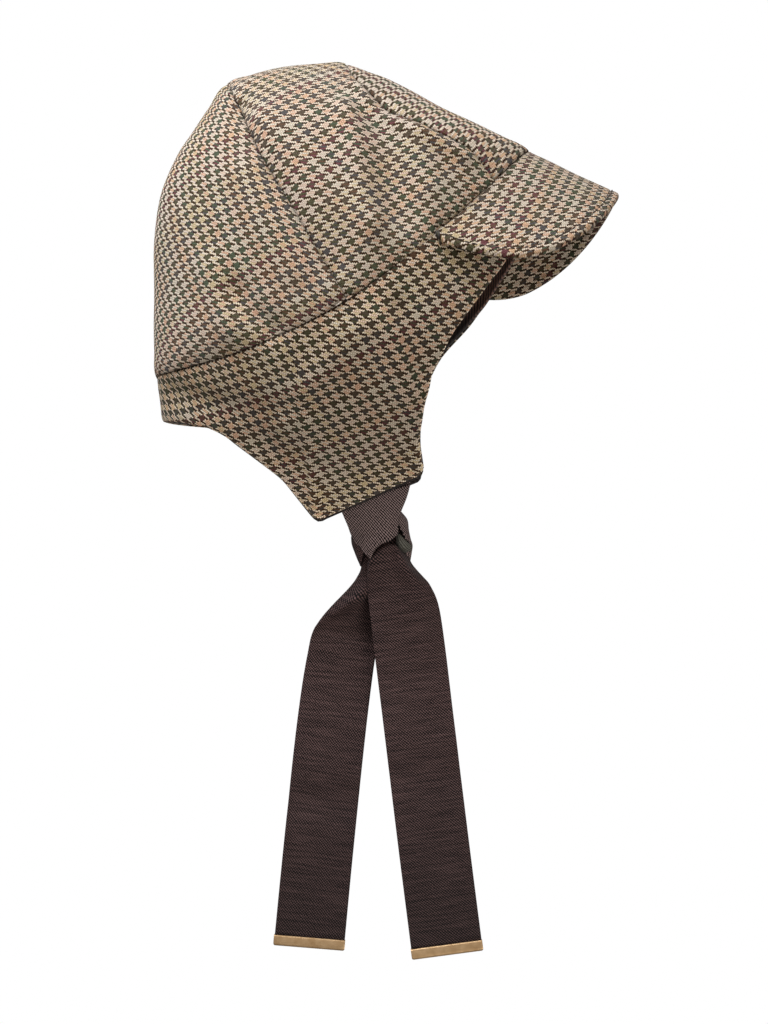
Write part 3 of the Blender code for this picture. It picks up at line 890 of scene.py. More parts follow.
# folds seen from the side: height, width, then the line's places from one end to the other
formFolds = (
    (-4.0, 7.0, ((-54.0, 104.0), (-44.5, 81.5), (-25.5, 48.5), (-8.0, 20.0))),
    (2.6, 8.0, ((-49.0, 68.0), (-43.0, 53.0), (-36.0, 36.0), (-27.0, 19.0))),
    (2.4, 9.0, ((-41.0, 94.0), (-27.0, 74.0), (-14.0, 58.0), (-1.0, 46.0), (9.0, 37.0))),
    (3.4, 6.0, ((-2.0, 100.0), (2.0, 86.0), (5.0, 69.0), (8.0, 53.0), (12.0, 42.0))),
    (-4.6, 9.5, ((14.0, 96.0), (19.0, 84.0), (21.0, 68.0), (23.0, 54.0), (25.0, 46.0))),
    (1.6, 6.0, ((32.0, 85.0), (36.0, 72.0), (40.0, 60.0))),
    (2.0, 3.2, ((3.0, 112.0), (15.0, 97.0), (37.5, 84.0), (55.0, 75.0))),
    (-0.9, 6.0, ((-60.0, 118.0), (-50.0, 124.0), (-40.0, 127.0))),
    (2.6, 7.5, ((-66.0, 22.0), (-60.0, 6.0), (-56.0, -6.0))),
    (-5.0, 6.5, ((-53.0, 10.0), (-46.0, 0.0), (-36.0, -8.0))),
    (-2.4, 7.0, ((-87.0, -35.0), (-68.0, -41.0), (-44.0, -45.0), (-20.0, -43.0), (-6.0, -35.0))),
    (2.6, 9.0, ((0.0, -12.0), (-8.0, -24.0), (-18.0, -38.0), (-30.0, -54.0))),
    (2.6, 6.0, ((14.0, -3.0), (21.0, -15.0), (26.0, -27.0), (28.0, -38.0))),
    (-2.6, 6.0, ((25.0, 1.0), (33.0, -14.0), (39.0, -27.0))),
    (-3.8, 9.5, ((-40.0, -58.0), (-24.0, -69.0), (-4.0, -74.0), (15.0, -70.0), (30.0, -60.0))),
    (6.6, 9.0, ((-18.0, -99.0), (3.0, -96.0), (29.0, -86.0))),
)
farSideFolds = 0.7
flapTop = {"start": -30 * mm, "fade": 30 * mm}
formFoldLines = [
    (height * mm * (1.0 if side < 0 else farSideFolds), width * mm, sideLine(rows, side))
    for side in (-1, 1) for height, width, rows in formFolds
]
# the sewn line between crown and band lies in a hollow, steep above and slow below
# ends: where it starts and how softly, where it ends and how softly
hollow = {
    "depth": 2.6 * mm,
    "above": 9.0 * mm,
    "below": 30.0 * mm,
    "ends": (-94 * mm, 22 * mm, 74 * mm, 26 * mm),
}
hollowLines = [bandSeam(side)[::24] for side in (-1, 1)]
# towards the visor that line lies flat and hardly shows
flatLine = {"share": 0.8, "height": 5 * mm, "ends": (8 * mm, 26 * mm, 66 * mm, 10 * mm)}


def foldsAt(points):
    # soft ridges and valleys of the whole form, each along its line
    total = np.zeros(points.shape[:-1])
    for height, width, line in formFoldLines:
        total += height * bell(awayFrom(points, line), width)
    away = np.min([awayFrom(points, line) for line in hollowLines], axis=0)
    x = points[..., 0]
    reach = np.where(points[..., 2] < seamHeight(x), hollow["below"], hollow["above"])
    return total - hollow["depth"] * softWindow(x, *hollow["ends"]) * bell(away, reach)


def foldShift(points, normal):
    # folds move the cloth outwards, and level in the flaps so their hems keep their height
    level = normal * (1, 1, 0)
    level = level / np.maximum(np.linalg.norm(level, axis=-1, keepdims=True), 1e-6)
    low = smoothStep((flapTop["start"] - points[..., 2]) / flapTop["fade"])[..., None]
    return (normal * (1 - low) + level * low) * foldsAt(points)[..., None]


def clothWallOf(name, patch, relief, wall, cloth, away, material=houndstooth, paintedLight=0.0):
    # a panel's double wall, with its turned-in edge, painted shade along its seam line and any painted
    # light given
    normal = bodyNormal(patch)
    shift = foldShift(patch, normal)
    x = patch[..., 0]
    flat = flatLine["share"] * bell(patch[..., 2] - seamHeight(x), flatLine["height"])
    flat = flat * softWindow(x, *flatLine["ends"])
    edge = turnedIn(away, crown["edgeRadius"])
    relief = relief + flat * edge
    outer = patch + shift + normal * relief[..., None]
    inner = patch + shift + normal * (np.minimum(relief, 0) * 0.9 - wall - edge * 0.3)[..., None]
    # painted shade along the seam, weaker where the seam lies flat, less the painted light
    seam = np.exp(-away / crown["seamLine"]) * (1 - flat) - paintedLight
    return shell("hat_" + name, outer, inner, material, cloth, seam)


def seamRelief(patch, away, seed, look):
    # turned-in edge, a soft swell beside it, small puckers, and slow ripples further in
    relief = -turnedIn(away, crown["edgeRadius"]) + puffed(away, look["puff"], look["puffWidth"])
    relief += rippled(patch, look["pucker"], seed) * np.exp(-away / look["pucker"][0])
    return relief + rippled(patch, look["ripple"], seed + 1)


def drawnIn(patch, amount):
    # each edge moved in by a hair, so neighbours never cross
    result = patch.copy()
    whole = slice(None)
    for edge, inner in ((0, 1), (-1, -2)):
        for a, b in (((edge, whole), (inner, whole)), ((whole, edge), (whole, inner))):
            step = result[b] - result[a]
            size = np.linalg.norm(step, axis=1, keepdims=True)
            result[a] = result[a] + step / np.maximum(size, 1e-9) * np.minimum(amount, 0.8 * size)
    return result


def crownPanel(name, top, bottom, left, right, seed, seams):
    # one piece of the crown between its four edges, sewn along its seams
    down = sharesWithEdges(lengthsOf(left)[-1], crown["rows"])
    across = sharesWithEdges(lengthsOf(bottom)[-1], crown["columns"])
    patch = fourSided(
        pointsAt(top, across), pointsAt(bottom, across), pointsAt(left, down),
        pointsAt(right, down), across, down,
    )
    patch = drawnIn(onBody(patch), crown["edgeGap"])
    away = np.min([awayFrom(patch, seam) for seam in seams], axis=0)
    relief = seamRelief(patch, away, seed, crown)
    relief -= crown["settle"] * smoothStep(away / crown["settleWidth"])
    flat = flattened(patch, across, down)
    if name == "front_panel":
        # the front piece swells less, and is cut with its rows along the side seam
        relief -= puffed(away, crown["frontCalm"], crown["puffWidth"])
        above, below = crown["frontWay"]
        way = flat[below, 0] - flat[above, 0]
        cloth = onGrain(flat, math.degrees(math.atan2(way[1], way[0])), crown["frontCell"])
    else:
        cloth = onGrain(flat, crown["grain"][name], crown["cell"])
    return clothWallOf(name, patch, relief, crown["wall"], cloth, away)


def buildGore(name, seamRows, ring, seed):
    # back or front piece, the same on both sides, with its tip cut off by a hair
    right = crownSeam(seamRows, -1)
    step = right[1] - right[0]
    right[0] += step / np.linalg.norm(step) * min(crown["tip"], 0.5 * np.linalg.norm(step))
    left = right * (1, -1, 1)
    bottom = np.vstack([ring, (ring * (1, -1, 1))[::-1][1:]])
    bottom[0], bottom[-1] = right[-1], left[-1]
    top = np.stack([right[0], left[0]])
    return crownPanel(name, top, bottom, right, left, seed, (right[::6], left[::6], bottom[::24]))


def buildSidePanel(name, side, seed):
    rear = crownSeam(rearSeamRows, side)
    front = crownSeam(frontSeamRows, side)
    bottom = bandSeam(side, rearSeamRows[-1][0] * mm, frontSeamRows[-1][0] * mm)
    bottom[0], bottom[-1] = rear[-1], front[-1]
    along = np.linspace(0, 1, 90)[:, None]
    top = onBody((1 - along) * rear[0] + along * front[0])
    seams = (rear[::6], front[::6], bottom[::24], top[::3])
    return crownPanel(name, top, bottom, rear, front, seed, seams)


backRing = bandSeam(-1, end=rearSeamRows[-1][0] * mm)[::-1]
frontRing = bandSeam(-1, start=frontSeamRows[-1][0] * mm)
crownPieces = [
    buildGore("back_panel", rearSeamRows, backRing, 11),
    buildGore("front_panel", frontSeamRows, frontRing, 21),
    buildSidePanel("side_panel_right", -1, 31),
    buildSidePanel("side_panel_left", 1, 41),
]
for piece in crownPieces:
    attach(piece, "root")
    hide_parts(piece.name[4:])
print("crown made")

# band and ear flap, one piece a side
band = {
    "rows": 90,
    "columns": 260,
    "wall": 1.7 * mm,
    "puff": 0.5 * mm,
    "puffWidth": 8.0 * mm,
    "pucker": (6.0 * mm, 0.3 * mm),
    "ripple": (26.0 * mm, 0.6 * mm),
    "hemRadius": 1.2 * mm,
    "hemPuff": (0.8 * mm, 2.6 * mm),
    "grain": 18.0,
    # painted highlight as share, place and width on the hem's rolled edge; painted light as share, start
    # and fade on the lower flap; an even painted shade over the band
    "hemPaintedHighlight": (1.3, 0.9 * mm, 0.6 * mm),
    "flapPaintedLight": (0.5, -50 * mm, 45 * mm),
    "evenPaintedShade": 0.03,
}


def buildBand(side, word, seed):
    name = "band_" + word
    hemLength = lengthsOf(lowerEdge(side, np.linspace(0, 1, 400))[0])[-1]
    across = sharesWithEdges(hemLength, band["columns"])
    edge, above = lowerEdge(side, across)
    drop = np.linalg.norm(edge - above, axis=1).max()
    down = sharesWithEdges(drop, band["rows"])
    v = down[:, None, None]
    patch = drawnIn(onBody((1 - v) * above[None] + v * edge[None]), crown["edgeGap"])
    awayHem = awayFrom(patch, edge[::3])
    away = np.min([awayFrom(patch, seam) for seam in (above[::3], patch[:, 0], patch[:, -1])], axis=0)
    relief = seamRelief(patch, away, seed, band)
    relief += puffed(awayHem, *band["hemPuff"]) - turnedIn(awayHem, band["hemRadius"])
    flat = flattened(patch, across, down)
    cloth = onGrain(flat, -side * band["grain"], crown["cell"])
    # painted highlight along the hem's roll and painted light on the lower flap, less an even painted
    # shade
    share, place, width = band["hemPaintedHighlight"]
    paintedLight = share * bell(awayHem - place, width)
    share, start, fade = band["flapPaintedLight"]
    paintedLight += share * smoothStep((start - patch[..., 2]) / fade) - band["evenPaintedShade"]
    piece = clothWallOf(name, patch, relief, band["wall"], cloth, away, shadedHoundstooth, paintedLight)
    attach(piece, "root")
    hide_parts(name)


for side, word in ((-1, "right"), (1, "left")):
    buildBand(side, word, 51 + side)
print("band and flaps made")

# lining: one skin inside crown, band and flaps
lining = {
    "depth": 2.2 * mm,
    "wall": 0.8 * mm,
    "wrinkle": (14.0 * mm, 0.5 * mm),
    "columns": 150,
    "rings": 44,
    # a wider strip shows at the face opening's far side
    "facePeek": 3.0 * mm,
    "faceEnds": (6 * mm, 18 * mm, 66 * mm, 12 * mm),
    "faceFrom": (38 * mm, 10 * mm),
    # and a thin line under the flap and the slope behind it
    "peek": 2.6 * mm,
    "peekBelow": (44 * mm, 8 * mm),
    "peekBehind": (55 * mm, 18 * mm),
}


def buildLining():
    shares = np.linspace(0, 1, lining["columns"])
    sides = [lowerEdge(side, shares) for side in (-1, 1)]
    edge, above = [np.vstack([sides[0][k], sides[1][k][::-1][1:-1]]) for k in range(2)]
    downward = (edge - above) / np.linalg.norm(edge - above, axis=1, keepdims=True)
    face = softWindow(edge[:, 2], *lining["faceEnds"])
    start, fade = lining["faceFrom"]
    face = face * smoothStep((edge[:, 0] - start) / fade) * (edge[:, 1] > 0)
    start, fade = lining["peekBelow"]
    under = smoothStep((-edge[:, 2] - start) / fade)
    start, fade = lining["peekBehind"]
    under = under * (1 - smoothStep((-edge[:, 0] - start) / fade))
    edge = edge + downward * (lining["peek"] * under + lining["facePeek"] * face)[:, None]
    rings = [(1 - v) * crownInside + v * above for v in np.linspace(0.03, 1, lining["rings"])]
    rings += [(1 - v) * above + v * edge for v in np.linspace(0, 1, lining["rings"])[1:]]
    rings = onBody(np.array(rings))
    normal = bodyNormal(rings)
    wrinkle = lining["wrinkle"][1] + rippled(rings, lining["wrinkle"], 71)
    # the crown's lining hangs a little further in
    inCrown = smoothStep((lining["rings"] - 1 - np.arange(len(rings))) / 6)[:, None]
    outer = rings + foldShift(rings, normal)
    outer = outer - normal * (lining["depth"] + crown["settle"] * inCrown)[..., None]
    inner = outer - normal * (lining["wall"] + wrinkle)[..., None]
    count = len(rings)
    around, dropped = lengthsOf(rings[count // 2]), lengthsOf(rings[:, 0])
    cloth = np.stack(np.broadcast_arrays(around[None, :], dropped[:, None]), -1)
    # painted shade: dark towards the hem, where cloth and lining meet, but not at the face opening
    dark = smoothStep((np.arange(count) - (count - 8)) / 4)[:, None] * (1 - face)[None, :]
    piece = shell("hat_lining", outer, inner, darkLining, cloth, dark, ring=True)
    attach(piece, "root")
    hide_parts("lining")


buildLining()
print("lining made")

# visor: top and under layer sewn round the edge
visor = {
    "rootStart": 41.0 * mm,
    "middle": 55.0 * mm,
    "reach": 79.5 * mm,
    "halfWidth": 78.5 * mm,
    "tip": 67.0 * mm,
    "squareness": 2.4,
    "drop": 45.0 * mm,
    "cornerTurn": math.radians(95.0),
    "liftStart": 95.0 * mm,
    "cornerLift": 11.0 * mm,
    "bulge": 0.8 * mm,
    "thickness": 3.4 * mm,
    "edgeRadius": 1.7 * mm,
    "rootRadius": 1.2 * mm,
    "rimPuff": (0.6 * mm, 2.2 * mm),
    # noise as size and height, then the swell of both corners as height and reach
    "ripple": (16.0 * mm, 0.35 * mm),
    "gather": (3.0 * mm, 0.7 * mm),
    "cornerSwell": (1.5 * mm, 8 * mm),
    "stitchIn": 5.0 * mm,
    "stitchGroove": (0.5 * mm, 0.8 * mm),
    "rootSeam": 0.9 * mm,
    "rimSeam": 0.6 * mm,
    "apart": 0.03 * mm,
    "depth": 45.0 * mm,
    "rows": 90,
    "columns": 200,
}
# grain, wool, and how dark the painted shade along the rim is; the under layer has the wool copy with
# painted shade
visorLayers = {"top": (177.0, houndstooth, 0.0), "under": (3.0, shadedHoundstooth, 0.6)}


def visorSheet(across, down):
    # the surface between both layers, from its root on the seam to its rim
    half = bandSeam(-1, start=visor["rootStart"])
    root = pointsAt(np.vstack([half, (half * (1, -1, 1))[::-1][1:]]), across)
    turn = (2 * across - 1) * visor["cornerTurn"]
    power = 2 / visor["squareness"]
    x = visor["middle"] + visor["reach"] * np.sign(np.cos(turn)) * np.abs(np.cos(turn)) ** power
    y = visor["halfWidth"] * np.sign(turn) * np.abs(np.sin(turn)) ** power
    rearward = np.clip((visor["liftStart"] - x) / (visor["liftStart"] - x.min()), 0, 1)
    z = visor["tip"] - visor["drop"] * (y / visor["halfWidth"]) ** 2
    edge = np.stack([x, y, z + visor["cornerLift"] * rearward ** 1.5], 1)
    v = down[:, None, None]
    sheet = (1 - v) * root[None] + v * edge[None]
    sheet[:, :, 2] += visor["bulge"] * np.sin(math.pi * v[:, :, 0]) * np.cos(turn / 1.15)[None]
    return sheet


# each stitch as five rings along it: place, rise and thickness
thread = {
    "length": 2.7 * mm,
    "gap": 0.9 * mm,
    "radius": 0.36 * mm,
    "places": (0.0, 0.2, 0.5, 0.8, 1.0),
    "rise": (-0.3, 0.6, 0.9, 0.6, -0.3),
    "size": (0.4, 0.9, 1.0, 0.9, 0.4),
    "corners": 6,
}


def stitchRow(name, line, outward):
    # a row of short rounded stitches lying along a line
    stride = thread["length"] + thread["gap"]
    total = lengthsOf(line)[-1]
    turn = np.linspace(0, 2 * math.pi, thread["corners"], endpoint=False)
    rings = len(thread["places"])
    places = np.array(thread["places"]) * thread["length"]
    rise = np.array(thread["rise"])[:, None] * thread["radius"]
    size = np.array(thread["size"])[:, None, None] * thread["radius"]
    points, faces = [], []
    for k in range(int(total / stride)):
        middle, up = [pointsAt(curve, (places + k * stride) / total) for curve in (line, outward)]
        way = (middle[-1] - middle[0]) / np.linalg.norm(middle[-1] - middle[0])
        side = np.cross(way, up)
        ring = np.cos(turn)[None, :, None] * side[:, None] + np.sin(turn)[None, :, None] * up[:, None]
        points.append(((middle + up * rise)[:, None] + ring * size).reshape(-1, 3))
        faces.append(gridFaces(rings, thread["corners"], ring=True) + k * rings * thread["corners"])
    piece = makeObject(name, np.vstack(points), np.vstack(faces), sewingThread)
    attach(piece, "root")


def visorStitches(outer, normal):
    # one row of top stitching inside the rim
    line, outward = [], []
    for column in range(6, outer.shape[1] - 6):
        away = np.linalg.norm(outer[:, column] - outer[-1, column], axis=1)
        row = int(np.argmin(np.abs(away - visor["stitchIn"])))
        line.append(outer[row, column])
        outward.append(normal[row, column])
    line, outward = np.array(line), np.array(outward)
    share = lengthsOf(line) / lengthsOf(line)[-1]
    even = np.linspace(0, 1, 500)
    stitchRow("visor_stitches", columnsAt(even, share, line), columnsAt(even, share, outward))


def buildVisor():
    coarse = visorSheet(np.linspace(0, 1, 160), np.linspace(0, 1, 30))
    across = sharesWithEdges(lengthsOf(coarse[-1])[-1], visor["columns"])
    down = sharesWithEdges(visor["depth"], visor["rows"])
    sheet = visorSheet(across, down)
    normal = gridNormal(sheet)
    normal = normal * np.sign(normal[:, sheet.shape[1] // 2, 2].sum())
    awayRim = awayFrom(sheet, sheet[-1, ::2])
    awayRoot = awayFrom(sheet, sheet[0, ::2])
    half = visor["thickness"] / 2
    depth, width = visor["stitchGroove"]
    groove = depth * bell(awayRim - visor["stitchIn"], width)
    relief = half - turnedIn(awayRim, visor["edgeRadius"]) * half / visor["edgeRadius"]
    relief = relief - groove + puffed(awayRim, *visor["rimPuff"])
    relief = relief - turnedIn(awayRoot, visor["rootRadius"]) * 0.8
    relief += rippled(sheet, visor["ripple"], 81) * np.clip(awayRim / (9 * mm), 0, 1)
    for word, (grain, fabric, rimPaintedShade) in visorLayers.items():
        up = 1.0 if word == "top" else -1.0
        layer = relief.copy()
        if word == "top":
            # gathered, swollen corners where the edge runs into the root
            corner = np.minimum(*[np.linalg.norm(sheet - sheet[0, k], axis=2) for k in (0, -1)])
            swell, reach = visor["cornerSwell"]
            gather = rippled(sheet, visor["gather"], 83) + swell
            layer += gather * bell(corner, reach) * np.clip(awayRim / (3 * mm), 0, 1)
        flat = flattened(sheet, across, down, np.array([0, 0, up]))
        middle = sheet - normal * half
        outer = middle + normal * (up * (layer + 2 * visor["apart"]))[..., None]
        inner = middle + normal * up * visor["apart"]
        cloth = onGrain(flat, grain, crown["cell"])
        # painted shade in the crease along the root, and along the rim of the under layer
        seam = np.exp(-awayRoot / visor["rootSeam"]) + np.exp(-awayRim / visor["rimSeam"]) * rimPaintedShade
        piece = shell("hat_visor_" + word, outer, inner, fabric, cloth, seam)
        if word == "top":
            visorStitches(outer, normal)
        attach(piece, "root")
        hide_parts("visor_" + word)


buildVisor()
print("visor made")

# ribbons: wave and ripple as size and height, hanging as start, rise, end and fall
# sewn: how far the tie's end goes up inside the flap, from and to, then its way
ribbon = {
    "width": 35.0 * mm,
    "wall": 0.5 * mm,
    "selvedge": 0.6 * mm,
    "steps": 9,
    "wave": (34.0 * mm, 1.2 * mm),
    "ripple": (16.0 * mm, 0.35 * mm),
    "hanging": (-0.311, 0.04, -0.125, 0.05),
    "sewn": (14.0 * mm, 1.0 * mm),
    "sewnWay": (-0.02, -0.62, 0.78),
    "inside": 4.4 * mm,
    "leastSheet": 10.1 * mm,
}
# each surface by rows from the top down, places x, y, z in millimetres
# from the flap's hem down to where the tie tucks under itself
tieFoldRows = (
    ((-4.2, -17.5, -90.6), (4.2, -19.5, -87.7), (12.6, -21, -84.4), (20.9, -22, -81), (29.8, -22, -78.5)),
    ((-2.7, -15.5, -94), (4.7, -17.5, -91.6),
     (12.6, -18.5, -88.7), (20.4, -19, -85.7), (28.2, -18, -83.7)),
    ((-0.8, -13, -98.4), (6.2, -15.5, -96.5),
     (13.1, -16.5, -94.5), (19.5, -16.5, -92.5), (25.3, -14.5, -91.0)),
    ((1.1, -9.5, -103.2), (7.1, -14, -102.3),
     (13.1, -15.5, -100.4), (19, -15.5, -98.9), (23.9, -12.5, -97.4)),
    ((4.1, -10.5, -107.7), (9.1, -14, -106.3),
     (14, -15, -104.8), (19, -15, -102.9), (23.9, -12, -100.3)),
    ((7.1, -11.5, -110.9), (10.6, -13.8, -109.7),
     (15, -14.5, -107), (19.5, -14.2, -105.1), (23.7, -11.5, -101.8)),
    ((10.1, -12, -114.2), (12.1, -12.6, -110.5),
     (15.5, -13, -107.2), (19.5, -12.8, -105.6), (23.2, -10.5, -102.8)),
    ((10.6, -9, -113.1), (12.5, -9.5, -109.7),
     (16, -9.5, -106.7), (19.5, -9.5, -104.7), (23, -8, -102.2)),
)
# the turn round the rear side of the knot
sideWrapRows = (
    ((2.9, 4, -101.9), (1.2, 0, -102.7), (0.9, -5, -104.1), (2.6, -9, -105.2), (5.6, -11.5, -105.7)),
    ((2.9, 5, -106.4), (1.4, 0, -106.7), (1.3, -5.5, -107.4), (3.1, -9, -108.4), (6.6, -11, -109.2)),
    ((4.4, 5, -110.9), (2.8, 0, -111), (2.6, -5, -111.1), (4.1, -8.5, -111.1), (7.3, -10.2, -110.7)),
    ((6.5, 4, -114.9), (4.5, 0, -115), (4, -4, -114.8), (4.8, -7, -114.3), (6.3, -8.8, -113.1)),
    ((8, 3, -118), (6.2, 0, -118.2), (5.4, -3, -118), (5.2, -5.5, -117.3), (5.5, -7, -116.1)),
)
# the other tie as it comes round the front side of the knot
loopRows = (
    ((24.3, 3, -92.0), (25.6, -3, -91.2), (24.9, -9, -91.8), (23.4, -11.5, -93.4)),
    ((27, 4, -93.9), (28.5, -3, -95.1), (26.9, -8, -96), (24.2, -10.5, -97.3)),
    ((27, 5, -98.9), (29.2, -3, -100.1), (27.9, -7.5, -100.7), (25.7, -9.5, -100.7)),
    ((27.5, 5, -103.9), (30, -3, -104.3), (29.2, -7, -104.7), (27.7, -9, -104.5)),
    ((28.1, 5, -107.9), (30.9, -3, -107.8), (30.4, -6, -107.6), (29.2, -8, -106.9)),
    ((27.5, 5, -111.9), (30.5, -2.5, -111.5), (29.8, -5.5, -111.1), (28.2, -7, -110.6)),
    ((27, 4, -115.9), (29.9, -2, -115.5), (28.9, -5, -114.8), (26.9, -7, -113.6)),
)
# an edge that turns outwards between tie and loop
turnedEdgeRows = (
    ((23.2, -8.5, -100.7), (25.2, -10.5, -102.8),
     (27.1, -11, -105), (28.9, -10, -106.7), (30.7, -7, -107.9)),
    ((23.2, -9.5, -103.2), (24.7, -11.5, -105.3),
     (26.6, -11.8, -107), (28.6, -10.5, -108.2), (30.4, -7, -108.9)),
    ((23.2, -8.5, -105.7), (24.4, -10.5, -107.7),
     (26.2, -10.8, -109.2), (28.2, -9.5, -109.9), (30.2, -6, -110.1)),
    ((23.2, -6, -107.6), (24.7, -7, -109.9),
     (26.2, -7.5, -110.9), (27.9, -6.5, -111.4), (29.7, -4, -111.1)),
)
# the front tail from under the tie
frontTopRows = (
    ((18, -9, -105.7), (19.2, -11, -107.2), (20.5, -11.5, -107.5),
     (21.9, -11.5, -107.7), (23.4, -10.5, -108.5), (24.5, -7, -109.6)),
    ((14.5, -9, -107.9), (17, -12.5, -109.5), (19.5, -12, -109.7),
     (21.9, -11.8, -110.2), (24.3, -12.6, -111), (26.4, -7.5, -111.6)),
    ((11.5, -8.5, -110.9), (15, -13.3, -111.7), (18.2, -12.4, -112.2),
     (21.4, -12, -112.9), (25.2, -14, -113.4), (28.9, -7, -113.6)),
    ((10.1, -8, -113.9), (12.8, -13.2, -113.9), (17, -12.4, -115.2),
     (21.4, -12, -116.2), (26.6, -14.6, -116.7), (30.6, -7, -117.1)),
    ((9.1, -7.5, -117.1), (10.3, -12.3, -115.9), (15.5, -12.2, -118.1),
     (21.4, -11.6, -120.1), (28.9, -14.6, -120.8), (33.4, -7.5, -120.6)),
    ((9.3, -6.5, -121), (9.6, -10.4, -119.6), (15.5, -11, -122.6),
     (22.4, -11, -124.5), (31.3, -14, -124.5), (36.1, -7.5, -123.5)),
    ((9.3, -6, -126.5), (9.6, -8.8, -126), (16, -10, -129),
     (24.4, -10.4, -130.5), (34.3, -12.8, -129), (39.8, -8, -128)),
    ((9.8, -7, -137.4), (10.8, -8, -137.4), (18, -9, -139.9),
     (26.9, -9.6, -140.9), (37.3, -10.8, -138.9), (44, -8.5, -137.9)),
)
# the back tail from under the turn
backTopRows = (
    ((5.5, -3, -111), (7.1, -6, -110.6), (9.1, -7.5, -110.6), (11, -8, -111.1)),
    ((5.5, -3.5, -115), (7.1, -6.3, -115.1), (9.1, -7, -115.1), (11.5, -6.5, -116.1)),
    ((5.8, -3, -119), (7.5, -5, -120), (10, -5, -121.5), (13.5, -3.5, -123)),
    ((3.8, -2, -123.5), (7, -4.5, -126.5), (11, -3, -129.5), (17, -1, -132)),
    ((-0.2, -0.5, -129), (3.6, -4.2, -133.5), (9.5, -0.5, -136.5), (19, 1, -140)),
)
# both edges of each hanging tail, left x, y, z then right x, y, z
frontTailRows = (
    (12.4, -7.5, -162.0, 47.3, -7.5, -158.0),
    (16.6, -6.5, -196.0, 51.4, -6.5, -192.0),
    (23.9, -6.0, -256.0, 58.7, -6.0, -251.5),
    (30.9, -5.5, -311.0, 65.7, -5.5, -306.4),
)
backTailRows = (
    (-16.5, 2.5, -147.0, 17.0, 3.5, -144.0),
    (-21.5, 4.0, -163.0, 13.2, 4.5, -160.0),
    (-26.6, 4.5, -197.0, 8.1, 4.5, -199.0),
    (-33.0, 4.0, -256.0, 1.8, 4.0, -259.0),
    (-37.8, 4.0, -305.3, -2.9, 4.0, -308.1),
)
# the back tail's fold: its line in x and z, its widths below and above the line,
# and along the line where it starts and how softly, where it ends and how softly
backFold = {
    "start": (12.0, -130.0),
    "end": (-15.0, -146.5),
    "height": 5.5 * mm,
    "widths": (1.3 * mm, 6.0 * mm),
    "ends": (-0.6, 1.0, 1.35, 1.0),
}
# a slack crosswise dip in each tail: height, depth, half its width
tailDips = {"front": (-221.0, 1.3, 7.0), "back": (-236.5, 2.4, 8.0)}


def smoothSurface(rows, steps, sideSteps):
    # a smooth surface through a table of places
    table = np.array(rows, float)
    lines, columns = table.shape[:2]
    down = smoothRows(table.reshape(lines, -1), steps).reshape(-1, columns, 3)
    turned = down.transpose(1, 0, 2)
    wide = smoothRows(turned.reshape(columns, -1), sideSteps)
    return wide.reshape(-1, down.shape[0], 3).transpose(1, 0, 2) * mm


def ribbonPiece(name, grid, replaced, look):
    normal = gridNormal(grid)
    # a fine rolled edge along both long sides
    steps = np.linalg.norm(np.diff(grid, axis=1), axis=2)
    fromLeft = np.concatenate([np.zeros((len(grid), 1)), np.cumsum(steps, axis=1)], axis=1)
    near = np.minimum(fromLeft, fromLeft[:, -1:] - fromLeft)
    half = ribbon["wall"] / 2 * (1 + 0.5 * bell(near, ribbon["selvedge"]))
    rows, columns = grid.shape[:2]
    across, down = np.linspace(0, 1, columns), np.linspace(0, 1, rows)
    cloth = flattened(grid, across, down, np.array([0, -1.0, 0]))
    lift = normal * half[..., None]
    piece = shell(name, grid + lift, grid - lift, look, cloth)
    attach(piece, "root")
    if replaced:
        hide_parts(*replaced)


def tailGrid(topRows, hangingRows, seed, dip):
    rows = list(topRows)
    for row in hangingRows:
        left, right = np.array(row[:3]), np.array(row[3:])
        rows.append([tuple((1 - u) * left + u * right) for u in np.linspace(0, 1, len(topRows[0]))])
    grid = smoothSurface(rows, ribbon["steps"], 10)
    # slow waves down the tail, and a slight curl across it
    hanging = softWindow(grid[:, :, 2], *ribbon["hanging"])
    middle = grid[:, grid.shape[1] // 2]
    grid[:, :, 1] += rippled(middle * (0.2, 0.2, 1.0), ribbon["wave"], seed)[:, None] * hanging
    grid[:, :, 1] += rippled(grid, ribbon["ripple"], seed + 1) * hanging
    height, depth, half = dip
    grid[:, :, 1] += depth * mm * bell(grid[:, :, 2] / mm - height, half)
    return grid


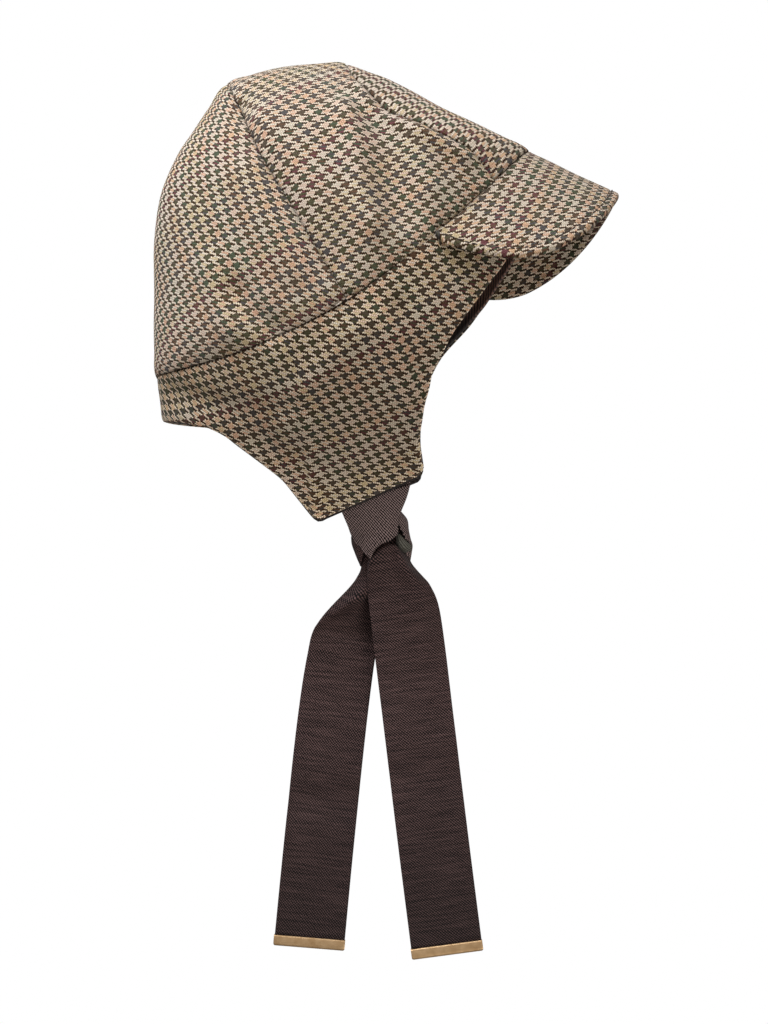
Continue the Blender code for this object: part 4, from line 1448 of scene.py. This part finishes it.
def buildRibbons():
    smallParts = (
        ("wrap", sideWrapRows, ribbonTail), ("loop", loopRows, ribbonFace),
        ("turned_edge", turnedEdgeRows, ribbonBack),
    )
    for side, word in ((-1, "right"), (1, "left")):
        mirror = (1, -side, 1)
        free = smoothSurface(tieFoldRows, ribbon["steps"], 9)
        # the sewn end goes up inside the flap
        up = np.linspace(*ribbon["sewn"], 10)[:, None, None]
        sewn = free[0][None] + up * np.array(ribbon["sewnWay"])
        for row in sewn:
            onForm = onBody(row)
            row[:, 1:] = (onForm - bodyNormal(onForm) * ribbon["inside"])[:, 1:]
        tie = np.concatenate([sewn, free]) * mirror
        ribbonPiece("hat_tie_" + word, tie, ["tie_" + word], ribbonFace)
        for part, rows, look in smallParts:
            grid = smoothSurface(rows, 8, 9) * mirror
            ribbonPiece("hat_knot_" + part + "_" + word, grid, [], look)
    front = tailGrid(frontTopRows, frontTailRows, 91, tailDips["front"])
    ribbonPiece("hat_tail_front", front, ["tail_front"], ribbonTail)
    back = tailGrid(backTopRows, backTailRows, 95, tailDips["back"])
    # the back tail folds over itself along a slanted line below the knot
    start, end = np.array(backFold["start"]) * mm, np.array(backFold["end"]) * mm
    way = (end - start) / np.linalg.norm(end - start)
    flat = back[:, :, [0, 2]] - start
    below = flat @ np.array([-way[1], way[0]])
    along = flat @ way / np.linalg.norm(end - start)
    fade = softWindow(along, *backFold["ends"])
    width = np.where(below > 0, *backFold["widths"])
    back[:, :, 1] -= backFold["height"] * fade * bell(below, width)
    ribbonPiece("hat_tail_back", back, ["tail_back"], ribbonTail)


knotCore = {
    "middle": (17.6 * mm, 0.0, -103.0 * mm),
    "half": (11.0, 6.0, 14.5),
    "fullness": 0.75,
    "rings": 22,
    "corners": 40,
    "lumps": (6.0 * mm, 0.6 * mm),
}


def buildKnotCore():
    # the hidden middle of the knot, where both ties cross
    rings, corners = knotCore["rings"], knotCore["corners"]
    turn = np.linspace(0, 2 * math.pi, corners, endpoint=False)
    rise = np.linspace(-0.5, 0.5, rings) * math.pi * 0.9999
    reach = np.cos(rise)[:, None] ** knotCore["fullness"]
    height = np.sin(rise)[:, None] * np.ones(corners)[None]
    grid = np.stack([reach * np.cos(turn)[None], reach * np.sin(turn)[None], height], -1)
    grid = grid * np.array(knotCore["half"]) * mm + np.array(knotCore["middle"])
    grid = grid + rippled(grid, knotCore["lumps"], 99)[..., None]
    faces = gridFaces(rings, corners, ring=True)
    cloth = np.stack(np.broadcast_arrays(turn[None] * 10 * mm, rise[:, None] * 9 * mm), -1)
    core = makeObject("hat_knot_core", grid.reshape(-1, 3), faces, ribbonTail, cloth.reshape(-1, 2))
    shape = bmesh.new()
    shape.from_mesh(core.data)
    bmesh.ops.remove_doubles(shape, verts=shape.verts, dist=0.01 * mm)
    shape.to_mesh(core.data)
    shape.free()
    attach(core, "root")
    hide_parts("tie_knot")


buildKnotCore()
buildRibbons()
print("ribbons made")

# clips: a folded strip of brass pressed on each tail's end
# lip: how far it leans in, how far below the top it starts to, and the step inside it
clip = {
    "length": 35.6 * mm,
    "height": 5.4 * mm,
    "thickness": 2.6 * mm,
    "metal": 0.7 * mm,
    "overlap": 3.8 * mm,
    "corner": 1.0 * mm,
    "lip": (0.25 * mm, 0.8 * mm, 0.2 * mm),
}


def clipProfile():
    # half round below, two lips that lean in towards the ribbon above
    half, thin = clip["thickness"] / 2, clip["metal"]
    low, top = -clip["height"] / 2, clip["height"] / 2
    lean, shoulder, step = clip["lip"]
    turn = np.linspace(math.pi, 2 * math.pi, 17)

    def rounded(radius, angles):
        return [(radius * math.cos(a), low + half + radius * math.sin(a)) for a in angles]

    outer = [(-half + lean, top), (-half, top - shoulder), *rounded(half, turn)]
    outer += [(half, top - shoulder), (half - lean, top)]
    inner = [(half - thin, top - step), *rounded(half - thin, turn[::-1]), (-half + thin, top - step)]
    return outer + inner


def buildClips():
    profile = clipProfile()
    count = len(profile)
    half, corner = clip["length"] / 2, clip["corner"]
    turn = np.linspace(0, math.pi / 2, 7)
    stations = np.concatenate([
        -half + corner * (1 - np.cos(turn)),
        np.linspace(-half + 2 * corner, half - 2 * corner, 24),
        half - corner * (1 - np.cos(turn[::-1])),
    ])
    for word, rows in (("front", frontTailRows), ("back", backTailRows)):
        left, right = np.array(rows[-1][:3]) * mm, np.array(rows[-1][3:]) * mm
        lean = math.atan2(right[2] - left[2], right[0] - left[0])
        way = np.array([math.cos(lean), 0, math.sin(lean)])
        up = np.array([-math.sin(lean), 0, math.cos(lean)])
        centre = (left + right) / 2 - up * (clip["height"] / 2 - clip["overlap"])
        points = []
        for place in stations:
            # drawn in towards both ends
            inside = min(max(half - abs(place), 0) / corner, 1.0)
            draw = 1 - (1 - math.sqrt(1 - (1 - inside) ** 2)) * 0.35
            for y, z in profile:
                low = z * draw if z < 0 else z
                points.append(centre + way * place + up * low + np.array([0, y * (0.8 + 0.2 * draw), 0]))
        faces = gridFaces(len(stations), count, ring=True).tolist()
        faces += [list(range(count))[::-1], [k + (len(stations) - 1) * count for k in range(count)]]
        piece = makeObject("hat_clip_" + word, points, faces, satinBrass)
        faceOutward(piece)
        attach(piece, "root")
        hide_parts("clip_" + word)


buildClips()
print("clips made")

# floor, sky and the two soft lights
stage = {
    "floorHeight": -1.5,
    "floorHalf": 30,
    "floorTone": 0.25,
    "skyTop": 0.7,
    "skyLow": 0.12,
    "skyWay": (-0.5, -0.3, 0.81),
    "skyPower": 1.3,
}
white = (1, 1, 1, 1)


def buildFloor():
    corners = ((-1, -1), (1, -1), (1, 1), (-1, 1))
    reach = stage["floorHalf"]
    points = [(x * reach, y * reach, stage["floorHeight"]) for x, y in corners]
    tone = stage["floorTone"]
    material, tree, shader = newMaterial("paleFloor", Base_Color=(tone, tone, tone, 1), Roughness=1.0)
    glow = tree.nodes.new("ShaderNodeEmission")
    glow.inputs["Color"].default_value = white
    seen = tree.nodes.new("ShaderNodeLightPath")
    blend = tree.nodes.new("ShaderNodeMixShader")
    chosen = (seen.outputs["Is Camera Ray"], shader.outputs[0], glow.outputs[0])
    for socket, value in zip(blend.inputs, chosen):
        tree.links.new(value, socket)
    tree.links.new(blend.outputs[0], tree.nodes["Material Output"].inputs["Surface"])
    floor = makeObject("stage_floor", points, [(0, 1, 2, 3)], material)


def buildSky():
    # white where the camera sees it, and brighter on the light's side
    world = bpy.data.worlds.new("softStudio")
    scene.world = world
    world.use_nodes = True
    tree = world.node_tree
    calc = calculator(tree)
    sky = tree.nodes["Background"]
    sky.inputs["Color"].default_value = white
    seen = tree.nodes.new("ShaderNodeLightPath")
    place = tree.nodes.new("ShaderNodeTexCoord")
    towards = tree.nodes.new("ShaderNodeVectorMath")
    towards.operation = "DOT_PRODUCT"
    tree.links.new(place.outputs["Generated"], towards.inputs[0])
    towards.inputs[1].default_value = stage["skyWay"]
    rise = calc("POWER", calc("MULTIPLY_ADD", towards.outputs["Value"], 0.5, 0.5), stage["skyPower"])
    level = mixNumber(tree, rise, stage["skyLow"], stage["skyTop"])
    level = mixNumber(tree, seen.outputs["Is Camera Ray"], level, 1.0)
    tree.links.new(level, sky.inputs["Strength"])


# place, target, power, colour
lights = {
    "key": ((-0.62, -0.6, 1.12), (0, 0, 0), 18.1, (0.93, 1.0, 1.11)),
    "fill": ((0.75, -1.2, -1.0), (0, 0, -0.05), 7.4, (1.03, 1.0, 0.96)),
}


def softLight(name):
    place, target, power, colour = lights[name]
    data = bpy.data.lights.new(name, "AREA")
    data.shape = "DISK"
    data.size = 0.7
    data.energy = power
    data.color = colour
    light = bpy.data.objects.new(name, data)
    light.location = place
    aim = np.array(target) - np.array(place)
    flat = math.hypot(aim[0], aim[1])
    light.rotation_euler = (math.atan2(flat, -aim[2]), 0, math.atan2(aim[1], aim[0]) - math.pi / 2)
    scene.collection.objects.link(light)


buildFloor()
buildSky()
for name in lights:
    softLight(name)
print("stage and light set")
